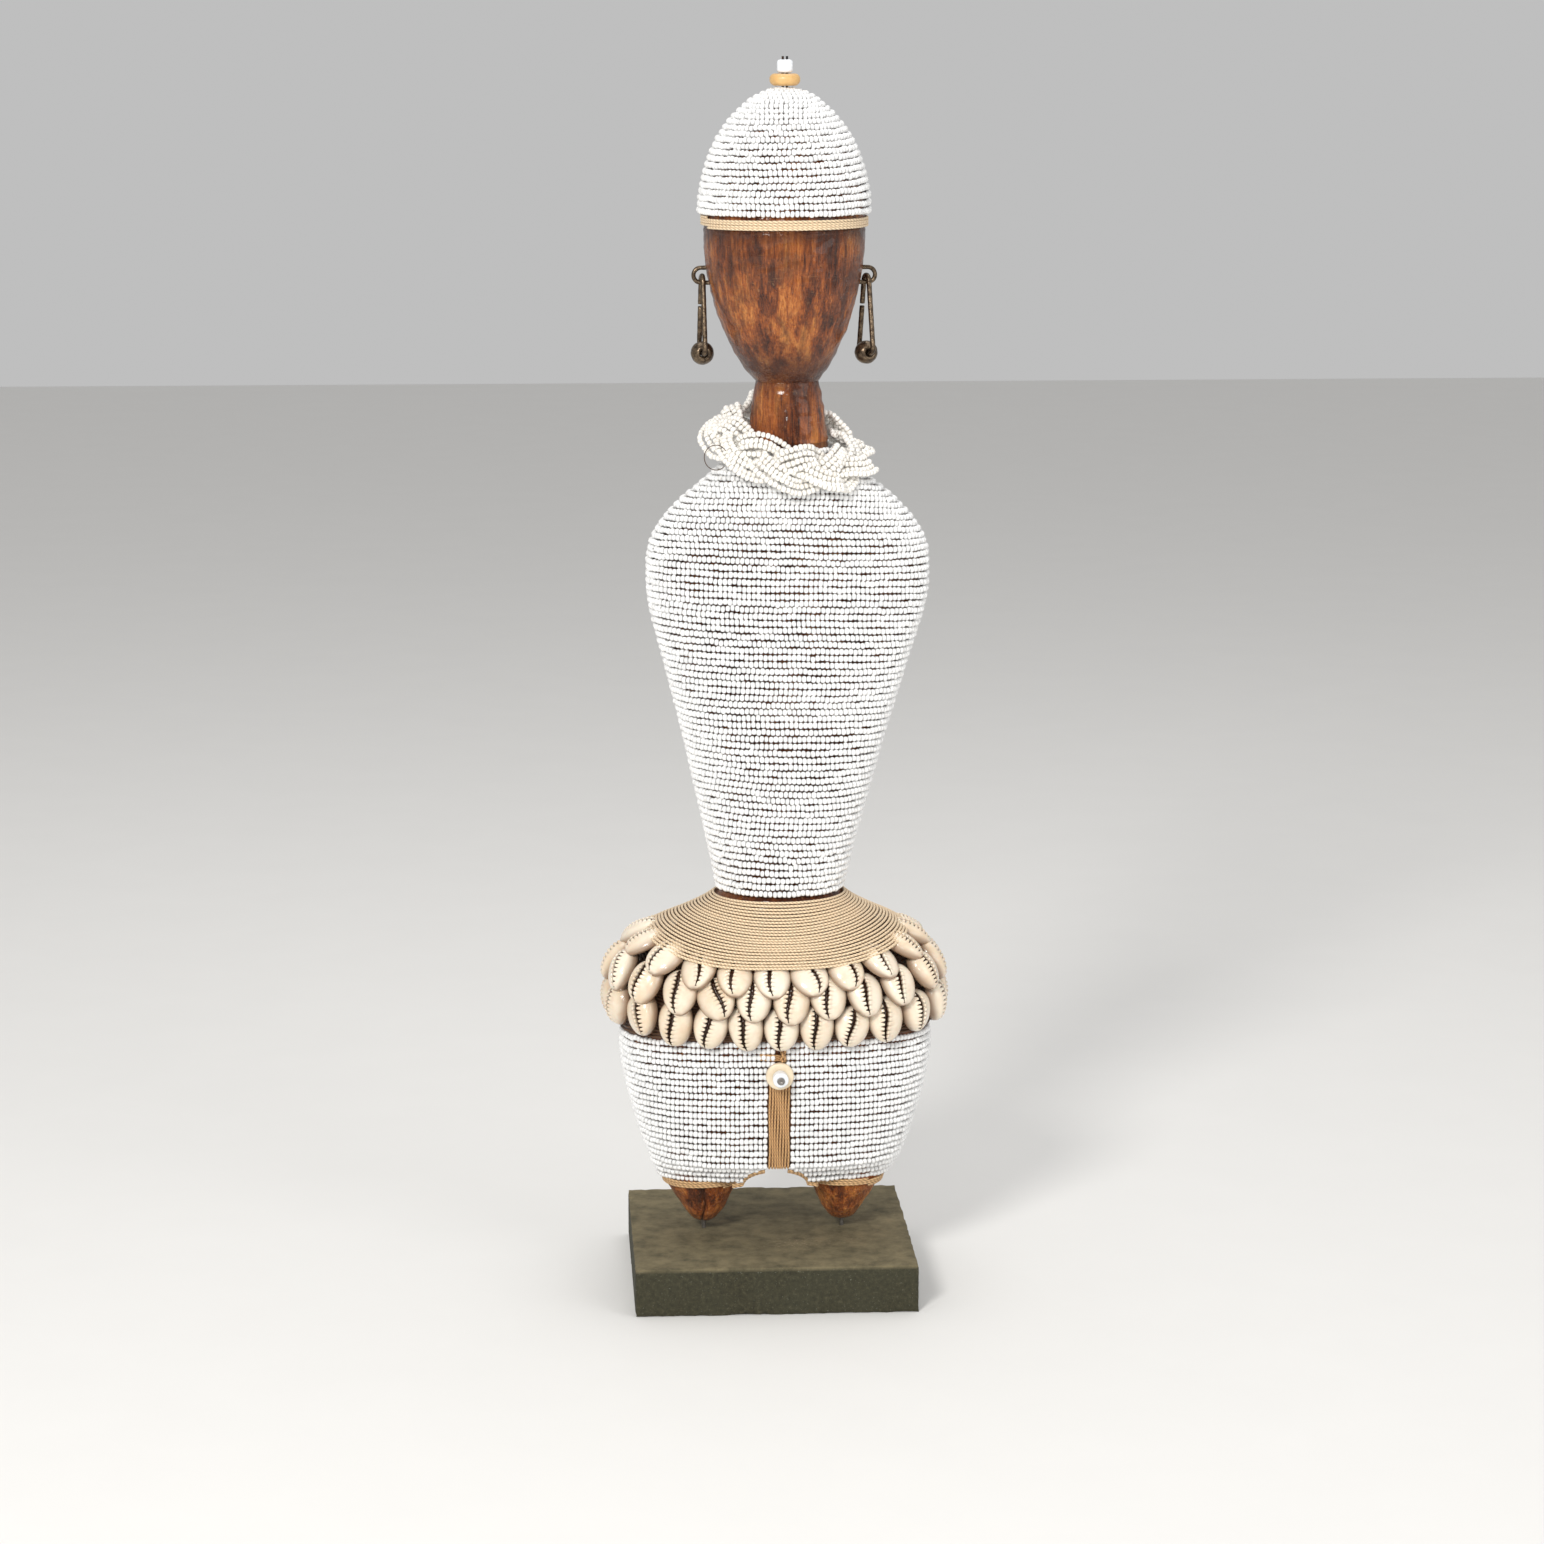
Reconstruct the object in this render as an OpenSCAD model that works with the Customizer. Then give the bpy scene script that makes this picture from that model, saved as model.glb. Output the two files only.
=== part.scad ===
// Fertility doll: a carved wooden figure wound with strings of seed beads, with three rows
// of cowrie shells sewn round the hips, standing on two steel pins in a stone slab.
// +X is the doll's left-to-right axis as seen from the front, the front faces -Y, +Z is up.
// The origin is on the ground under the middle of the shell rows.

/* [Stone base] */
// Width of the slab, left to right
base_w = 124; // [112:1:136]
// Depth of the slab, front to back
base_d = 120; // [100:1:130]
// Thickness of the slab
base_h = 21.5; // [16:0.5:22]
// Chamfer left on the sawn edges
base_chamfer = 0.9; // [0.3:0.1:2]

/* [Mounting pins] */
// Radius of each steel pin
pin_r = 1; // [0.8:0.1:1.5]
// Depth of each pin in the stone
pin_depth = 15; // [8:1:15]
// Length of each pin inside the foot
pin_in_foot = 16; // [8:1:20]

/* [Windings] */
// Thickness of a layer of seed beads
bead_t = 3.1; // [2.6:0.1:3.2]
// Thickness of the plain cord
cord_t = 1.45; // [1.1:0.05:1.6]
// Space left between a winding and the wood under it
winding_gap = 0.15; // [0.1:0.05:0.3]
// Width of the cord strip between the two halves of the hip beads
strip_w = 9.4; // [7:0.1:11]

/* [Cowrie shells] */
// Length of one shell
shell_len = 17; // [15:0.1:17.4]
// Width of one shell
shell_w = 14.1; // [12:0.1:14.3]
// How far the flat back lies behind the shell's long axis
shell_back = 0.8; // [0.4:0.1:1.6]
// Number of shells in the upper row
upper_shells = 20; // [16:1:20]
// Number of shells in the middle row
middle_shells = 22; // [18:1:22]
// Number of shells in the lower row
lower_shells = 23; // [18:1:23]

/* [Earrings] */
// Radius of the staple wire
staple_wire_r = 0.95; // [0.8:0.05:1.05]
// Radius of the hoop wire
hoop_wire_r = 1.1; // [0.9:0.05:1.15]
// Length of the straight legs of a hoop
hoop_leg = 28; // [22:1:32]
// Radius of the bead on a hoop
ear_bead_r = 5; // [4:0.1:5.2]
// Turn of the left hoop away from front-to-back
left_hoop_turn = 7; // [0:1:20]
// Turn of the right hoop away from front-to-back
right_hoop_turn = 18; // [0:1:20]

/* [Finial and button] */
// Radius of the amber disc on the crown
finial_disc_r = 6.5; // [5:0.1:7.5]
// Radius of the white barrel bead on the crown
finial_barrel_r = 3.4; // [2.8:0.1:4]
// Radius of the cream disc on the front strip
button_disc_r = 6.1; // [5:0.1:7]
// Radius of the white barrel bead on the front strip
button_barrel_r = 3.4; // [2.8:0.1:4]

/* [Necklace] */
// Half the width over which the plaited bundles weave
plait_half_w = 9.6; // [9.4:0.1:9.8]
// Half the thickness over which the plaited bundles weave
plait_half_t = 3.8; // [3.7:0.1:4]
// Radius of one beaded strand
strand_r = 1.2; // [1:0.05:1.2]

/* [Hidden] */
$fn = 48;

wood = "saddlebrown";
bead_white = "whitesmoke";
cord_tan = "tan";
cord_dark = "#4a3020";
bronze = "#4a4038";

sides = 28;            // points round each ring of the carved form
slice_t = 0.01;        // thickness of the slices that a chain of hulls joins
open_below = 4;        // how far an inner form runs on below a winding, to leave it open
body_gap = 0.3;        // space between pieces that move past each other

// The hand-carved figure sways a little: middle of each part, left to right
base_x = -2.5;
feet_x = -1;
waist_x = 2;
torso_x = 5.5;
head_x = 4;

// Rows of the outer surface, bottom to top: height at the side, half-width, height at the
// front, half-depth, squareness (2 is an ellipse), middle
hip_rows = [
    [56.5, 56.4, 56.5, 29.5, 2.5, 0],
    [68, 60.8, 68, 31, 2.5, 0],
    [78.5, 64, 78.5, 32.2, 2.5, 0],
    [89, 66.8, 89, 33.2, 2.5, 0],
    [103, 69.4, 103, 34, 2.5, 0],
    [109.5, 69.7, 109.5, 34.15, 2.5, 0],
    [114.6, 69.9, 114.6, 34.3, 2.5, 0]];
bed_rows = [
    [115.4, 69.2, 115.4, 34.8, 2.5, 0],
    [120, 69.2, 118.2, 35, 2.5, 0],
    [130, 68.4, 124, 35, 2.5, 0],
    [141, 64.8, 132, 33.8, 2.45, 0],
    [150, 58.3, 140, 31.3, 2.4, 0],
    [157, 51.3, 146.5, 28.3, 2.35, 0.3],
    [160.5, 46.8, 150.5, 26.3, 2.3, 0.5]];
skirt_rows = [
    [162.4, 55.4, 150.4, 35.2, 2.3, 0.5],
    [165.8, 49.2, 156, 33.2, 2.2, 0.8],
    [169.6, 41.8, 163, 30.2, 2.15, 1.2],
    [173.4, 34.5, 170.5, 27.4, 2.1, 1.6],
    [177.4, 28.4, 177.4, 25.2, 2.05, waist_x]];
torso_rows = [
    [178.4, 28.7, 178.4, 25.5, 2.05, waist_x],
    [190, 31, 190, 25.3, 2.1, 2.3],
    [203, 34, 203, 25, 2.15, 2.6],
    [230, 40.7, 230, 24.6, 2.25, 3.3],
    [254, 46.7, 254, 24.2, 2.35, 4],
    [280, 54, 280, 23.8, 2.4, 4.6],
    [302, 60.2, 302, 23.4, 2.45, 5.2],
    [315, 62, 315, 23, 2.45, torso_x],
    [326, 61.9, 326, 22.6, 2.45, torso_x],
    [334.5, 60, 335, 22, 2.4, torso_x],
    [343, 54.9, 344, 21, 2.35, torso_x],
    [351.5, 47.2, 353, 19.8, 2.25, torso_x],
    [360.5, 36.3, 362, 18.6, 2.15, torso_x],
    [367.5, 28.6, 369, 17.7, 2.05, torso_x],
    [374.6, 19.6, 374.6, 16.9, 2, torso_x]];
neck_rows = [
    [379, 17, 379, 13.6, 2, torso_x],
    [388, 15.9, 388, 13.3, 2, 5.4],
    [397, 14.6, 397, 12.9, 2, 5.3],
    [402, 13.5, 402, 12.6, 2, 5.2],
    [402.8, 14.2, 402.8, 13.4, 2, 5.1],
    [407, 17.8, 407, 16.8, 2.05, 4.8],
    [414.5, 22.2, 414.5, 20.8, 2.1, 4.5],
    [423.5, 26.3, 423.5, 24.4, 2.1, 4.3],
    [432, 29.4, 432, 27.2, 2.1, head_x],
    [441.5, 32, 441.5, 29.5, 2.1, head_x],
    [450, 33.6, 450, 30.9, 2.1, head_x],
    [458.5, 34.5, 458.5, 31.7, 2.1, head_x],
    [467, 34.9, 467, 32.1, 2.1, head_x]];
band_rows = [
    [468, 36.2, 468, 33.3, 2.1, head_x],
    [473.3, 36.2, 473.3, 33.3, 2.1, head_x]];
cap_rows = [
    [473.8, 37.7, 473.8, 34.7, 2.1, head_x],
    [481, 37.3, 481, 34.3, 2.1, head_x],
    [489, 36, 489, 33.1, 2.1, head_x],
    [498.5, 33.1, 498.5, 30.5, 2.05, head_x],
    [506, 29.6, 506, 27.3, 2, head_x],
    [513, 24.9, 513, 22.9, 2, head_x],
    [519, 19.3, 519, 17.8, 2, head_x],
    [523.5, 13.6, 523.5, 12.6, 2, head_x],
    [526.3, 7.6, 526.3, 7.2, 2, head_x],
    [527.3, 2.6, 527.3, 2.6, 2, head_x]];

// Inner rows that carry the wood from the hips up to the shell bed
ledge_rows = [
    [100, 60, 100, 25, 2.5, 0],
    [114.9, 60, 114.9, 25, 2.5, 0]];

// Rows of one leg; the middle is given from the line between the feet
leg_bead_rows = [
    [48.6, 19.4, 48.6, 20.5, 2.3, 33.2],
    [56, 24.8, 56, 25.5, 2.3, 31.2],
    [64, 28, 64, 28.5, 2.3, 29.8]];
leg_wood_rows = [
    [26, 3.8, 26, 4.2, 2, 31],
    [27.2, 5.7, 27.2, 6.3, 2, 31],
    [29.5, 7.5, 29.5, 8.3, 2, 31],
    [33, 9.8, 33, 10.8, 2, 31],
    [44, 15.5, 44, 16.6, 2.15, 32.2],
    [48.2, 15.9, 48.2, 17, 2.25, 32.8],
    [50.4, 16.3, 50.4, 17.3, 2.3, 32.9],
    [57.5, 21.3, 57.5, 21.9, 2.3, 31],
    [64, 24.6, 64, 25.1, 2.3, 29.8]];
cuff_rows = [
    [44.2, 17.2, 44.2, 18.3, 2.2, 32.2],
    [48.2, 17.8, 48.2, 18.9, 2.25, 32.8]];

// Bare arch between the legs: [half-width, height] from a foot up to the crown
arch_top = 56.3;
arch_edge = [[14, 30], [14, 49], [9.8, 53.6], [4.2, arch_top]];
cut_size = 200;        // larger than the figure is wide, for cutting it in two
strip_sink = 0.4;      // how far the cord strip lies below the bead surface
strip_gap = 0.1;       // space between the strip and the beads beside it

// Rows of shells: height and half-width at the side, height and half-depth at the front,
// lean from upright at the side and the front, and where the first shell sits from the front
lower_row = [129.8, 69.6, 123, 35.7, 6, 4, 0.04];
middle_row = [145.4, 67.9, 136.3, 37.9, 32, 26.5, 0.29];
upper_row = [159.4, 59.2, 147.2, 38.6, 52, 36.5, -0.21];
row_square = 2.5;
ring_steps = 180;      // steps for spacing shells evenly round a row
egg_steps = 14;
egg_taper = 0.1;

// Front button
button_z = 101;
button_y = -34.1;
button_disc_t = 2.6;
button_barrel_len = 6.4;
button_pin_r = 0.75;
button_bore_r = 1.05;
button_head_r = 1.7;
button_head_t = 0.8;
button_pin_in = 14;    // length of the pin inside the wood
button_disc_edge = 0.9;
button_barrel_edge = 1.3;

// Crown finial
finial_x = 4.2;
finial_disc_z = 527.6;
finial_disc_t = 5.1;
finial_disc_edge = 2.2;
finial_barrel_len = 5.6;
finial_barrel_edge = 1.1;
finial_bore_r = 1.9;
prong_r = 0.5;
prong_x = 0.9;
prong_low = 506;
prong_high = 540;

// Ear staples and hoops
staple_z = 447.4;
staple_bend_r = 3.2;
staple_reach = 35.9;   // from the middle of the head to the centre of the bend
staple_in_head = 25;
hoop_reach = 35.4;     // from the middle of the head to the plane where a hoop hangs
hoop_z = staple_z - staple_bend_r;
hoop_top_r = 2.9;
hoop_corner_r = 2.6;
hoop_splay = 9.5;
hoop_wire_split = 1.2;
hoop_split_at = 10;
hoop_bend_steps = 14;
hoop_corner_steps = 7;
hoop_sides = 14;
ear_bead_half = 4.3;
ear_bead_bore = hoop_wire_r + body_gap;
hoop_leg_end = [hoop_top_r * cos(hoop_splay) + hoop_leg * sin(hoop_splay),
                hoop_top_r * sin(hoop_splay) - hoop_leg * cos(hoop_splay)];
hoop_corner = hoop_leg_end - hoop_corner_r * [cos(hoop_splay), sin(hoop_splay)];
hoop_bar_z = hoop_corner[1] - hoop_corner_r;

// Necklace: three bundles of three strands plaited round the neck
bundle_strands = 3;
strand_spread = 1.6;   // from the middle of a bundle to each of its strands
weave_round = 0.1;     // how softly a bundle dips from over to under
plait_turns = 4;
necklace_steps = 72;
necklace_sides = 6;
necklace_middle = [5.6, -2.3, 379.6];
necklace_half_w = 29.9;
necklace_half_d = 26.4;
necklace_rise = 10.5;  // how much higher it lies at the back than at the sides
necklace_sag = 2.2;    // how much lower it lies at the front and back
slope_side = 35;       // slope of the band at the sides
slope_front = 33;      // and how much steeper it is at the front and back
slope_tilt = 4;

// ---------- ring and surface functions ----------

function unit(v) = v / norm(v);
function power_cos(a, square) = sign(cos(a)) * pow(abs(cos(a)), 2 / square);
function power_sin(a, square) = sign(sin(a)) * pow(abs(sin(a)), 2 / square);

function ring_point(row, a) = [
    row[5] + row[1] * power_cos(a, row[4]),
    row[3] * power_sin(a, row[4]),
    row[0] * cos(a) * cos(a) + row[2] * sin(a) * sin(a)];
function ring(row) = [for (k = [0:sides - 1]) ring_point(row, 360 * k / sides)];

// Outward direction of a profile at row i: kr is the radius column, kz the height column
function profile_normal(rows, i, kr, kz) =
    let (low = rows[max(i - 1, 0)],
         high = rows[min(i + 1, len(rows) - 1)],
         along = unit([high[kr] - low[kr], high[kz] - low[kz]]))
    [along[1], -along[0]];

// The same rows moved inward by t, square to the surface
function inset_rows(rows, t) = [for (i = [0:len(rows) - 1])
    let (r = rows[i],
         side = profile_normal(rows, i, 1, 0),
         front = profile_normal(rows, i, 3, 2))
    [r[0] - t * side[1], r[1] - t * side[0], r[2] - t * front[1], r[3] - t * front[0], r[4], r[5]]];

function flat_list(lists) = [for (l = lists) each l];

// Triangles between rings that follow each other; wrap joins the last ring to the first
function side_faces(rings, round, wrap) = [for (i = [0:rings - (wrap ? 1 : 2)], k = [0:round - 1])
    let (a = i * round + k,
         b = i * round + (k + 1) % round,
         c = ((i + 1) % rings) * round + (k + 1) % round,
         d = ((i + 1) % rings) * round + k)
    each [[a, d, c], [a, c, b]]];

module solid_stack(rows) {
    rings = [for (r = rows) ring(r)];
    last = (len(rows) - 1) * sides;
    polyhedron(
        points = flat_list(rings),
        faces = concat(
            side_faces(len(rows), sides, false),
            [[for (k = [0:sides - 1]) k]],
            [[for (k = [sides - 1:-1:0]) last + k]]));
}

// A closed skin between two depths under the surface of the rows
module skin(rows, outer_t, inner_t) {
    outer = inset_rows(rows, outer_t);
    inner = inset_rows(rows, inner_t);
    count = len(rows);
    rings = concat([for (r = outer) ring(r)], [for (i = [count - 1:-1:0]) ring(inner[i])]);
    polyhedron(points = flat_list(rings), faces = side_faces(2 * count, sides, true));
}

module slice(row) {
    translate([row[5], 0, row[0]])
        linear_extrude(slice_t)
            polygon([for (k = [0:sides - 1])
                let (a = 360 * k / sides)
                [row[1] * power_cos(a, row[4]), row[3] * power_sin(a, row[4])]]);
}

module chain(rows) {
    for (i = [0:len(rows) - 2])
        hull() {
            slice(rows[i]);
            slice(rows[i + 1]);
        }
}

function sideways(rows, side) = [for (r = rows) [r[0], r[1], r[2], r[3], r[4], feet_x + side * r[5]]];
function lowered(rows, drop) = concat(
    [[rows[0][0] - drop, rows[0][1], rows[0][2] - drop, rows[0][3], rows[0][4], rows[0][5]]], rows);

// ---------- wood ----------

module hip_form(inset, drop) {
    chain(lowered(inset_rows(hip_rows, inset), drop));
    for (side = [-1, 1])
        chain(lowered(inset_rows(sideways(leg_bead_rows, side), inset), drop));
}

module carved_figure() {
    under_beads = bead_t + winding_gap;
    under_cord = cord_t + winding_gap;
    color(wood) {
        chain(inset_rows(hip_rows, under_beads));
        for (side = [-1, 1])
            chain(sideways(leg_wood_rows, side));
        solid_stack(concat(
            ledge_rows,
            inset_rows(bed_rows, under_cord),
            [for (i = [1:len(skirt_rows) - 1]) inset_rows(skirt_rows, under_cord + 2 * winding_gap)[i]],
            inset_rows(torso_rows, under_beads + winding_gap),
            neck_rows,
            inset_rows(band_rows, under_cord),
            inset_rows(cap_rows, under_beads)));
    }
}

// ---------- base and pins ----------

module stone_base() {
    color("darkslategray")
        difference() {
            hull() {
                translate([base_x - base_w / 2 + base_chamfer, -base_d / 2 + base_chamfer, 0])
                    cube([base_w - 2 * base_chamfer, base_d - 2 * base_chamfer, base_h]);
                translate([base_x - base_w / 2, -base_d / 2, base_chamfer])
                    cube([base_w, base_d, base_h - 2 * base_chamfer]);
            }
            for (side = [-1, 1])
                translate([feet_x + side * leg_wood_rows[0][5], 0, base_h - pin_depth])
                    cylinder(r = pin_r, h = pin_depth + 1);
        }
}

module mounting_pin(side) {
    color("silver")
        translate([feet_x + side * leg_wood_rows[0][5], 0, base_h - pin_depth])
            cylinder(r = pin_r, h = pin_depth + pin_in_foot + leg_wood_rows[0][0] - base_h);
}
module mounting_pin_left() { mounting_pin(-1); }
module mounting_pin_right() { mounting_pin(1); }

// ---------- windings ----------

module arch_cutter() {
    last = len(arch_edge) - 1;
    translate([feet_x, cut_size / 2, 0])
        rotate([90, 0, 0])
            linear_extrude(cut_size)
                polygon(concat(
                    [for (p = arch_edge) [-p[0], p[1]]],
                    [for (i = [last:-1:0]) arch_edge[i]]));
}

module hip_bead_winding(side) {
    color(bead_white)
        difference() {
            hip_form(0, 0);
            hip_form(bead_t, open_below);
            arch_cutter();
            translate([side > 0 ? strip_w / 2 - cut_size : -strip_w / 2, -cut_size / 2, 0])
                cube(cut_size);
        }
}
module hip_bead_winding_left() { hip_bead_winding(-1); }
module hip_bead_winding_right() { hip_bead_winding(1); }

module cord_strip(face) {
    color(cord_tan)
        intersection() {
            difference() {
                hip_form(strip_sink, 0);
                hip_form(bead_t, open_below);
            }
            translate([strip_gap - strip_w / 2, face > 0 ? 0 : -cut_size, arch_top])
                cube([strip_w - 2 * strip_gap, cut_size, cut_size]);
        }
}
module front_cord_strip() { cord_strip(-1); }
module back_cord_strip() { cord_strip(1); }

module leg_cuff(side) {
    color(cord_tan)
        skin(sideways(cuff_rows, side), 0, cord_t - winding_gap);
}
module leg_cuff_left() { leg_cuff(-1); }
module leg_cuff_right() { leg_cuff(1); }

module shell_bed_cord() { color(cord_dark) skin(bed_rows, 0, cord_t); }
module waist_cord_skirt() { color(cord_tan) skin(skirt_rows, 0, cord_t); }
module torso_bead_winding() { color(bead_white) skin(torso_rows, 0, bead_t); }
module cap_bead_winding() { color(bead_white) skin(cap_rows, 0, bead_t); }
module cap_band_cord() { color(cord_tan) skin(band_rows, 0, cord_t); }

// ---------- cowrie shells ----------

// Egg with a flat back, lying along Z with its face towards +X
module cowrie() {
    half = shell_len / 2;
    difference() {
        rotate_extrude()
            polygon(concat([[0, -half]],
                [for (i = [1:egg_steps - 1])
                    let (a = 180 * i / egg_steps - 90)
                    [shell_w / 2 * cos(a) * (1 + egg_taper * sin(a)) / (1 + egg_taper / 3), half * sin(a)]],
                [[0, half]]));
        translate([-shell_w - shell_back, -shell_w, -shell_len])
            cube([shell_w, 2 * shell_w, 2 * shell_len]);
    }
}

function row_point(row, a) = [
    row[1] * power_cos(a, row_square),
    row[3] * power_sin(a, row_square),
    row[0] * cos(a) * cos(a) + row[2] * sin(a) * sin(a)];
function row_lengths(row) = [for (
    i = 0, total = 0;
    i <= ring_steps;
    i = i + 1,
    total = total + norm(row_point(row, 360 * i / ring_steps - 90)
                         - row_point(row, 360 * (i - 1) / ring_steps - 90)))
    [total, 360 * i / ring_steps - 90]];

module cowrie_row(row, count) {
    lengths = row_lengths(row);
    round_length = lengths[ring_steps][0];
    color("wheat")
        for (i = [0:count - 1]) {
            along = round_length * ((i + row[6] + count) % count) / count;
            a = lookup(along, lengths);
            here = row_point(row, a);
            ahead = row_point(row, lookup(min(along + 1, round_length), lengths));
            behind = row_point(row, lookup(max(along - 1, 0), lengths));
            facing = atan2(ahead[1] - behind[1], ahead[0] - behind[0]) - 90;
            lean = row[4] * cos(a) * cos(a) + row[5] * sin(a) * sin(a);
            translate(here)
                rotate([0, 0, facing])
                    rotate([0, -lean, 0])
                        translate([shell_back + body_gap, 0, 0])
                            cowrie();
        }
}
module cowries_lower_row() { cowrie_row(lower_row, lower_shells); }
module cowries_middle_row() { cowrie_row(middle_row, middle_shells); }
module cowries_upper_row() { cowrie_row(upper_row, upper_shells); }

// ---------- front button ----------

module button_place(y) {
    translate([0, y, button_z])
        rotate([90, 0, 0])
            children();
}

module front_button_pin() {
    out = body_gap + button_disc_t + body_gap + button_barrel_len + body_gap;
    color("dimgray") {
        button_place(button_y + button_pin_in)
            cylinder(r = button_pin_r, h = button_pin_in + out);
        button_place(button_y - out)
            cylinder(r = button_head_r, h = button_head_t);
    }
}

module front_button_disc() {
    color("antiquewhite")
        button_place(button_y - body_gap)
            rounded_bead(button_disc_r, button_disc_t, button_bore_r, button_disc_edge);
}

module front_button_barrel() {
    color("white")
        button_place(button_y - 2 * body_gap - button_disc_t)
            rounded_bead(button_barrel_r, button_barrel_len, button_bore_r, button_barrel_edge);
}

// A bead standing on Z = 0 with its edges rounded and a hole along Z
module rounded_bead(r, len, bore_r, edge_r) {
    rotate_extrude()
        polygon(concat(
            [[bore_r, 0]],
            [for (a = [-90:15:0]) [r - edge_r + edge_r * cos(a), edge_r + edge_r * sin(a)]],
            [for (a = [0:15:90]) [r - edge_r + edge_r * cos(a), len - edge_r + edge_r * sin(a)]],
            [[bore_r, len]]));
}

// ---------- finial ----------

module finial_wire() {
    color(bronze)
        for (side = [-1, 1])
            translate([finial_x + side * prong_x, 0, prong_low])
                cylinder(r = prong_r, h = prong_high - prong_low);
}

module finial_disc_bead() {
    color("burlywood")
        translate([finial_x, 0, finial_disc_z])
            rounded_bead(finial_disc_r, finial_disc_t, finial_bore_r, finial_disc_edge);
}

module finial_barrel_bead() {
    color("white")
        translate([finial_x, 0, finial_disc_z + finial_disc_t + body_gap])
            rounded_bead(finial_barrel_r, finial_barrel_len, finial_bore_r, finial_barrel_edge);
}

// ---------- earrings ----------

module ear_staple(side) {
    color(bronze)
        translate([head_x, 0, staple_z])
            mirror([side < 0 ? 1 : 0, 0, 0]) {
                for (leg = [-1, 1])
                    translate([staple_in_head, 0, leg * staple_bend_r])
                        rotate([0, 90, 0])
                            cylinder(r = staple_wire_r, h = staple_reach - staple_in_head);
                translate([staple_reach, 0, 0])
                    rotate([90, 0, 0])
                        rotate([0, 0, -90])
                            rotate_extrude(angle = 180)
                                translate([staple_bend_r, 0])
                                    circle(r = staple_wire_r);
            }
}
module ear_staple_left() { ear_staple(-1); }
module ear_staple_right() { ear_staple(1); }

// The hoop's middle line in its own plane, [across, up]: from the split in one leg over the
// top, down the other leg and round the bar to the split again
hoop_top = hoop_top_r * [cos(hoop_splay), sin(hoop_splay)];
function arc_points(centre, bend_r, from, to, steps) = [for (i = [0:steps])
    let (a = from + (to - from) * i / steps)
    centre + bend_r * [cos(a), sin(a)]];
function split_leg(run) = [-hoop_top[0] - run * sin(hoop_splay), hoop_top[1] - run * cos(hoop_splay)];
hoop_path = concat(
    [split_leg(hoop_split_at)],
    arc_points([0, 0], hoop_top_r, 180 - hoop_splay, hoop_splay, hoop_bend_steps),
    arc_points(hoop_corner, hoop_corner_r, hoop_splay, -90, hoop_corner_steps),
    arc_points([-hoop_corner[0], hoop_corner[1]], hoop_corner_r, -90, -180 - hoop_splay, hoop_corner_steps),
    [split_leg(hoop_split_at + hoop_wire_split)]);

function hoop_ring(i) =
    let (here = hoop_path[i],
         came = i > 0 ? unit(here - hoop_path[i - 1]) : [0, 0],
         goes = i < len(hoop_path) - 1 ? unit(hoop_path[i + 1] - here) : [0, 0],
         along = unit(came + goes))
    [for (k = [0:hoop_sides - 1])
        let (a = 360 * k / hoop_sides)
        [here[0] - hoop_wire_r * cos(a) * along[1],
         -hoop_wire_r * sin(a),
         here[1] + hoop_wire_r * cos(a) * along[0]]];

module hoop_wire() {
    count = len(hoop_path);
    last = (count - 1) * hoop_sides;
    polyhedron(
        points = flat_list([for (i = [0:count - 1]) hoop_ring(i)]),
        faces = concat(
            side_faces(count, hoop_sides, false),
            [[for (k = [0:hoop_sides - 1]) k]],
            [[for (k = [hoop_sides - 1:-1:0]) last + k]]));
}

// Puts a hoop's plane front to back, its whole leg to the front, and turns it a little
module hoop_place(side, turn) {
    translate([head_x + side * hoop_reach, 0, hoop_z])
        rotate([0, 0, -90 + turn])
            children();
}
module earring_hoop_left() { color(bronze) hoop_place(-1, left_hoop_turn) hoop_wire(); }
module earring_hoop_right() { color(bronze) hoop_place(1, right_hoop_turn) hoop_wire(); }

module ear_bead() {
    translate([0, 0, hoop_bar_z])
        rotate([0, 90, 0])
            difference() {
                intersection() {
                    sphere(r = ear_bead_r);
                    cylinder(r = ear_bead_r + 1, h = 2 * ear_bead_half, center = true);
                }
                cylinder(r = ear_bead_bore, h = 4 * ear_bead_r, center = true);
            }
}
module earring_bead_left() { color(bronze) hoop_place(-1, left_hoop_turn) ear_bead(); }
module earring_bead_right() { color(bronze) hoop_place(1, right_hoop_turn) ear_bead(); }

// ---------- necklace ----------

// Middle of the plait at angle p round the neck (270 is the front), and its two directions
function neck_slope(p) = slope_side + slope_front * sin(p) * sin(p) - slope_tilt * sin(p);
function neck_middle(p) = necklace_middle + [
    necklace_half_w * cos(p),
    necklace_half_d * sin(p),
    necklace_rise * sin(p) - necklace_sag * sin(p) * sin(p)];
function neck_across(p) = let (s = neck_slope(p)) [cos(p) * cos(s), sin(p) * cos(s), -sin(s)];
function neck_out(p) = let (s = neck_slope(p)) [cos(p) * sin(s), sin(p) * sin(s), cos(s)];
function over_under(a) = sin(a) * sqrt((1 + weave_round) / (sin(a) * sin(a) + weave_round));
function bundle_middle(k, p) =
    let (weave = plait_turns * p + 120 * k)
    neck_middle(p) + plait_half_w * sin(weave) * neck_across(p)
        + plait_half_t * over_under(2 * weave) * neck_out(p);
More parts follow.
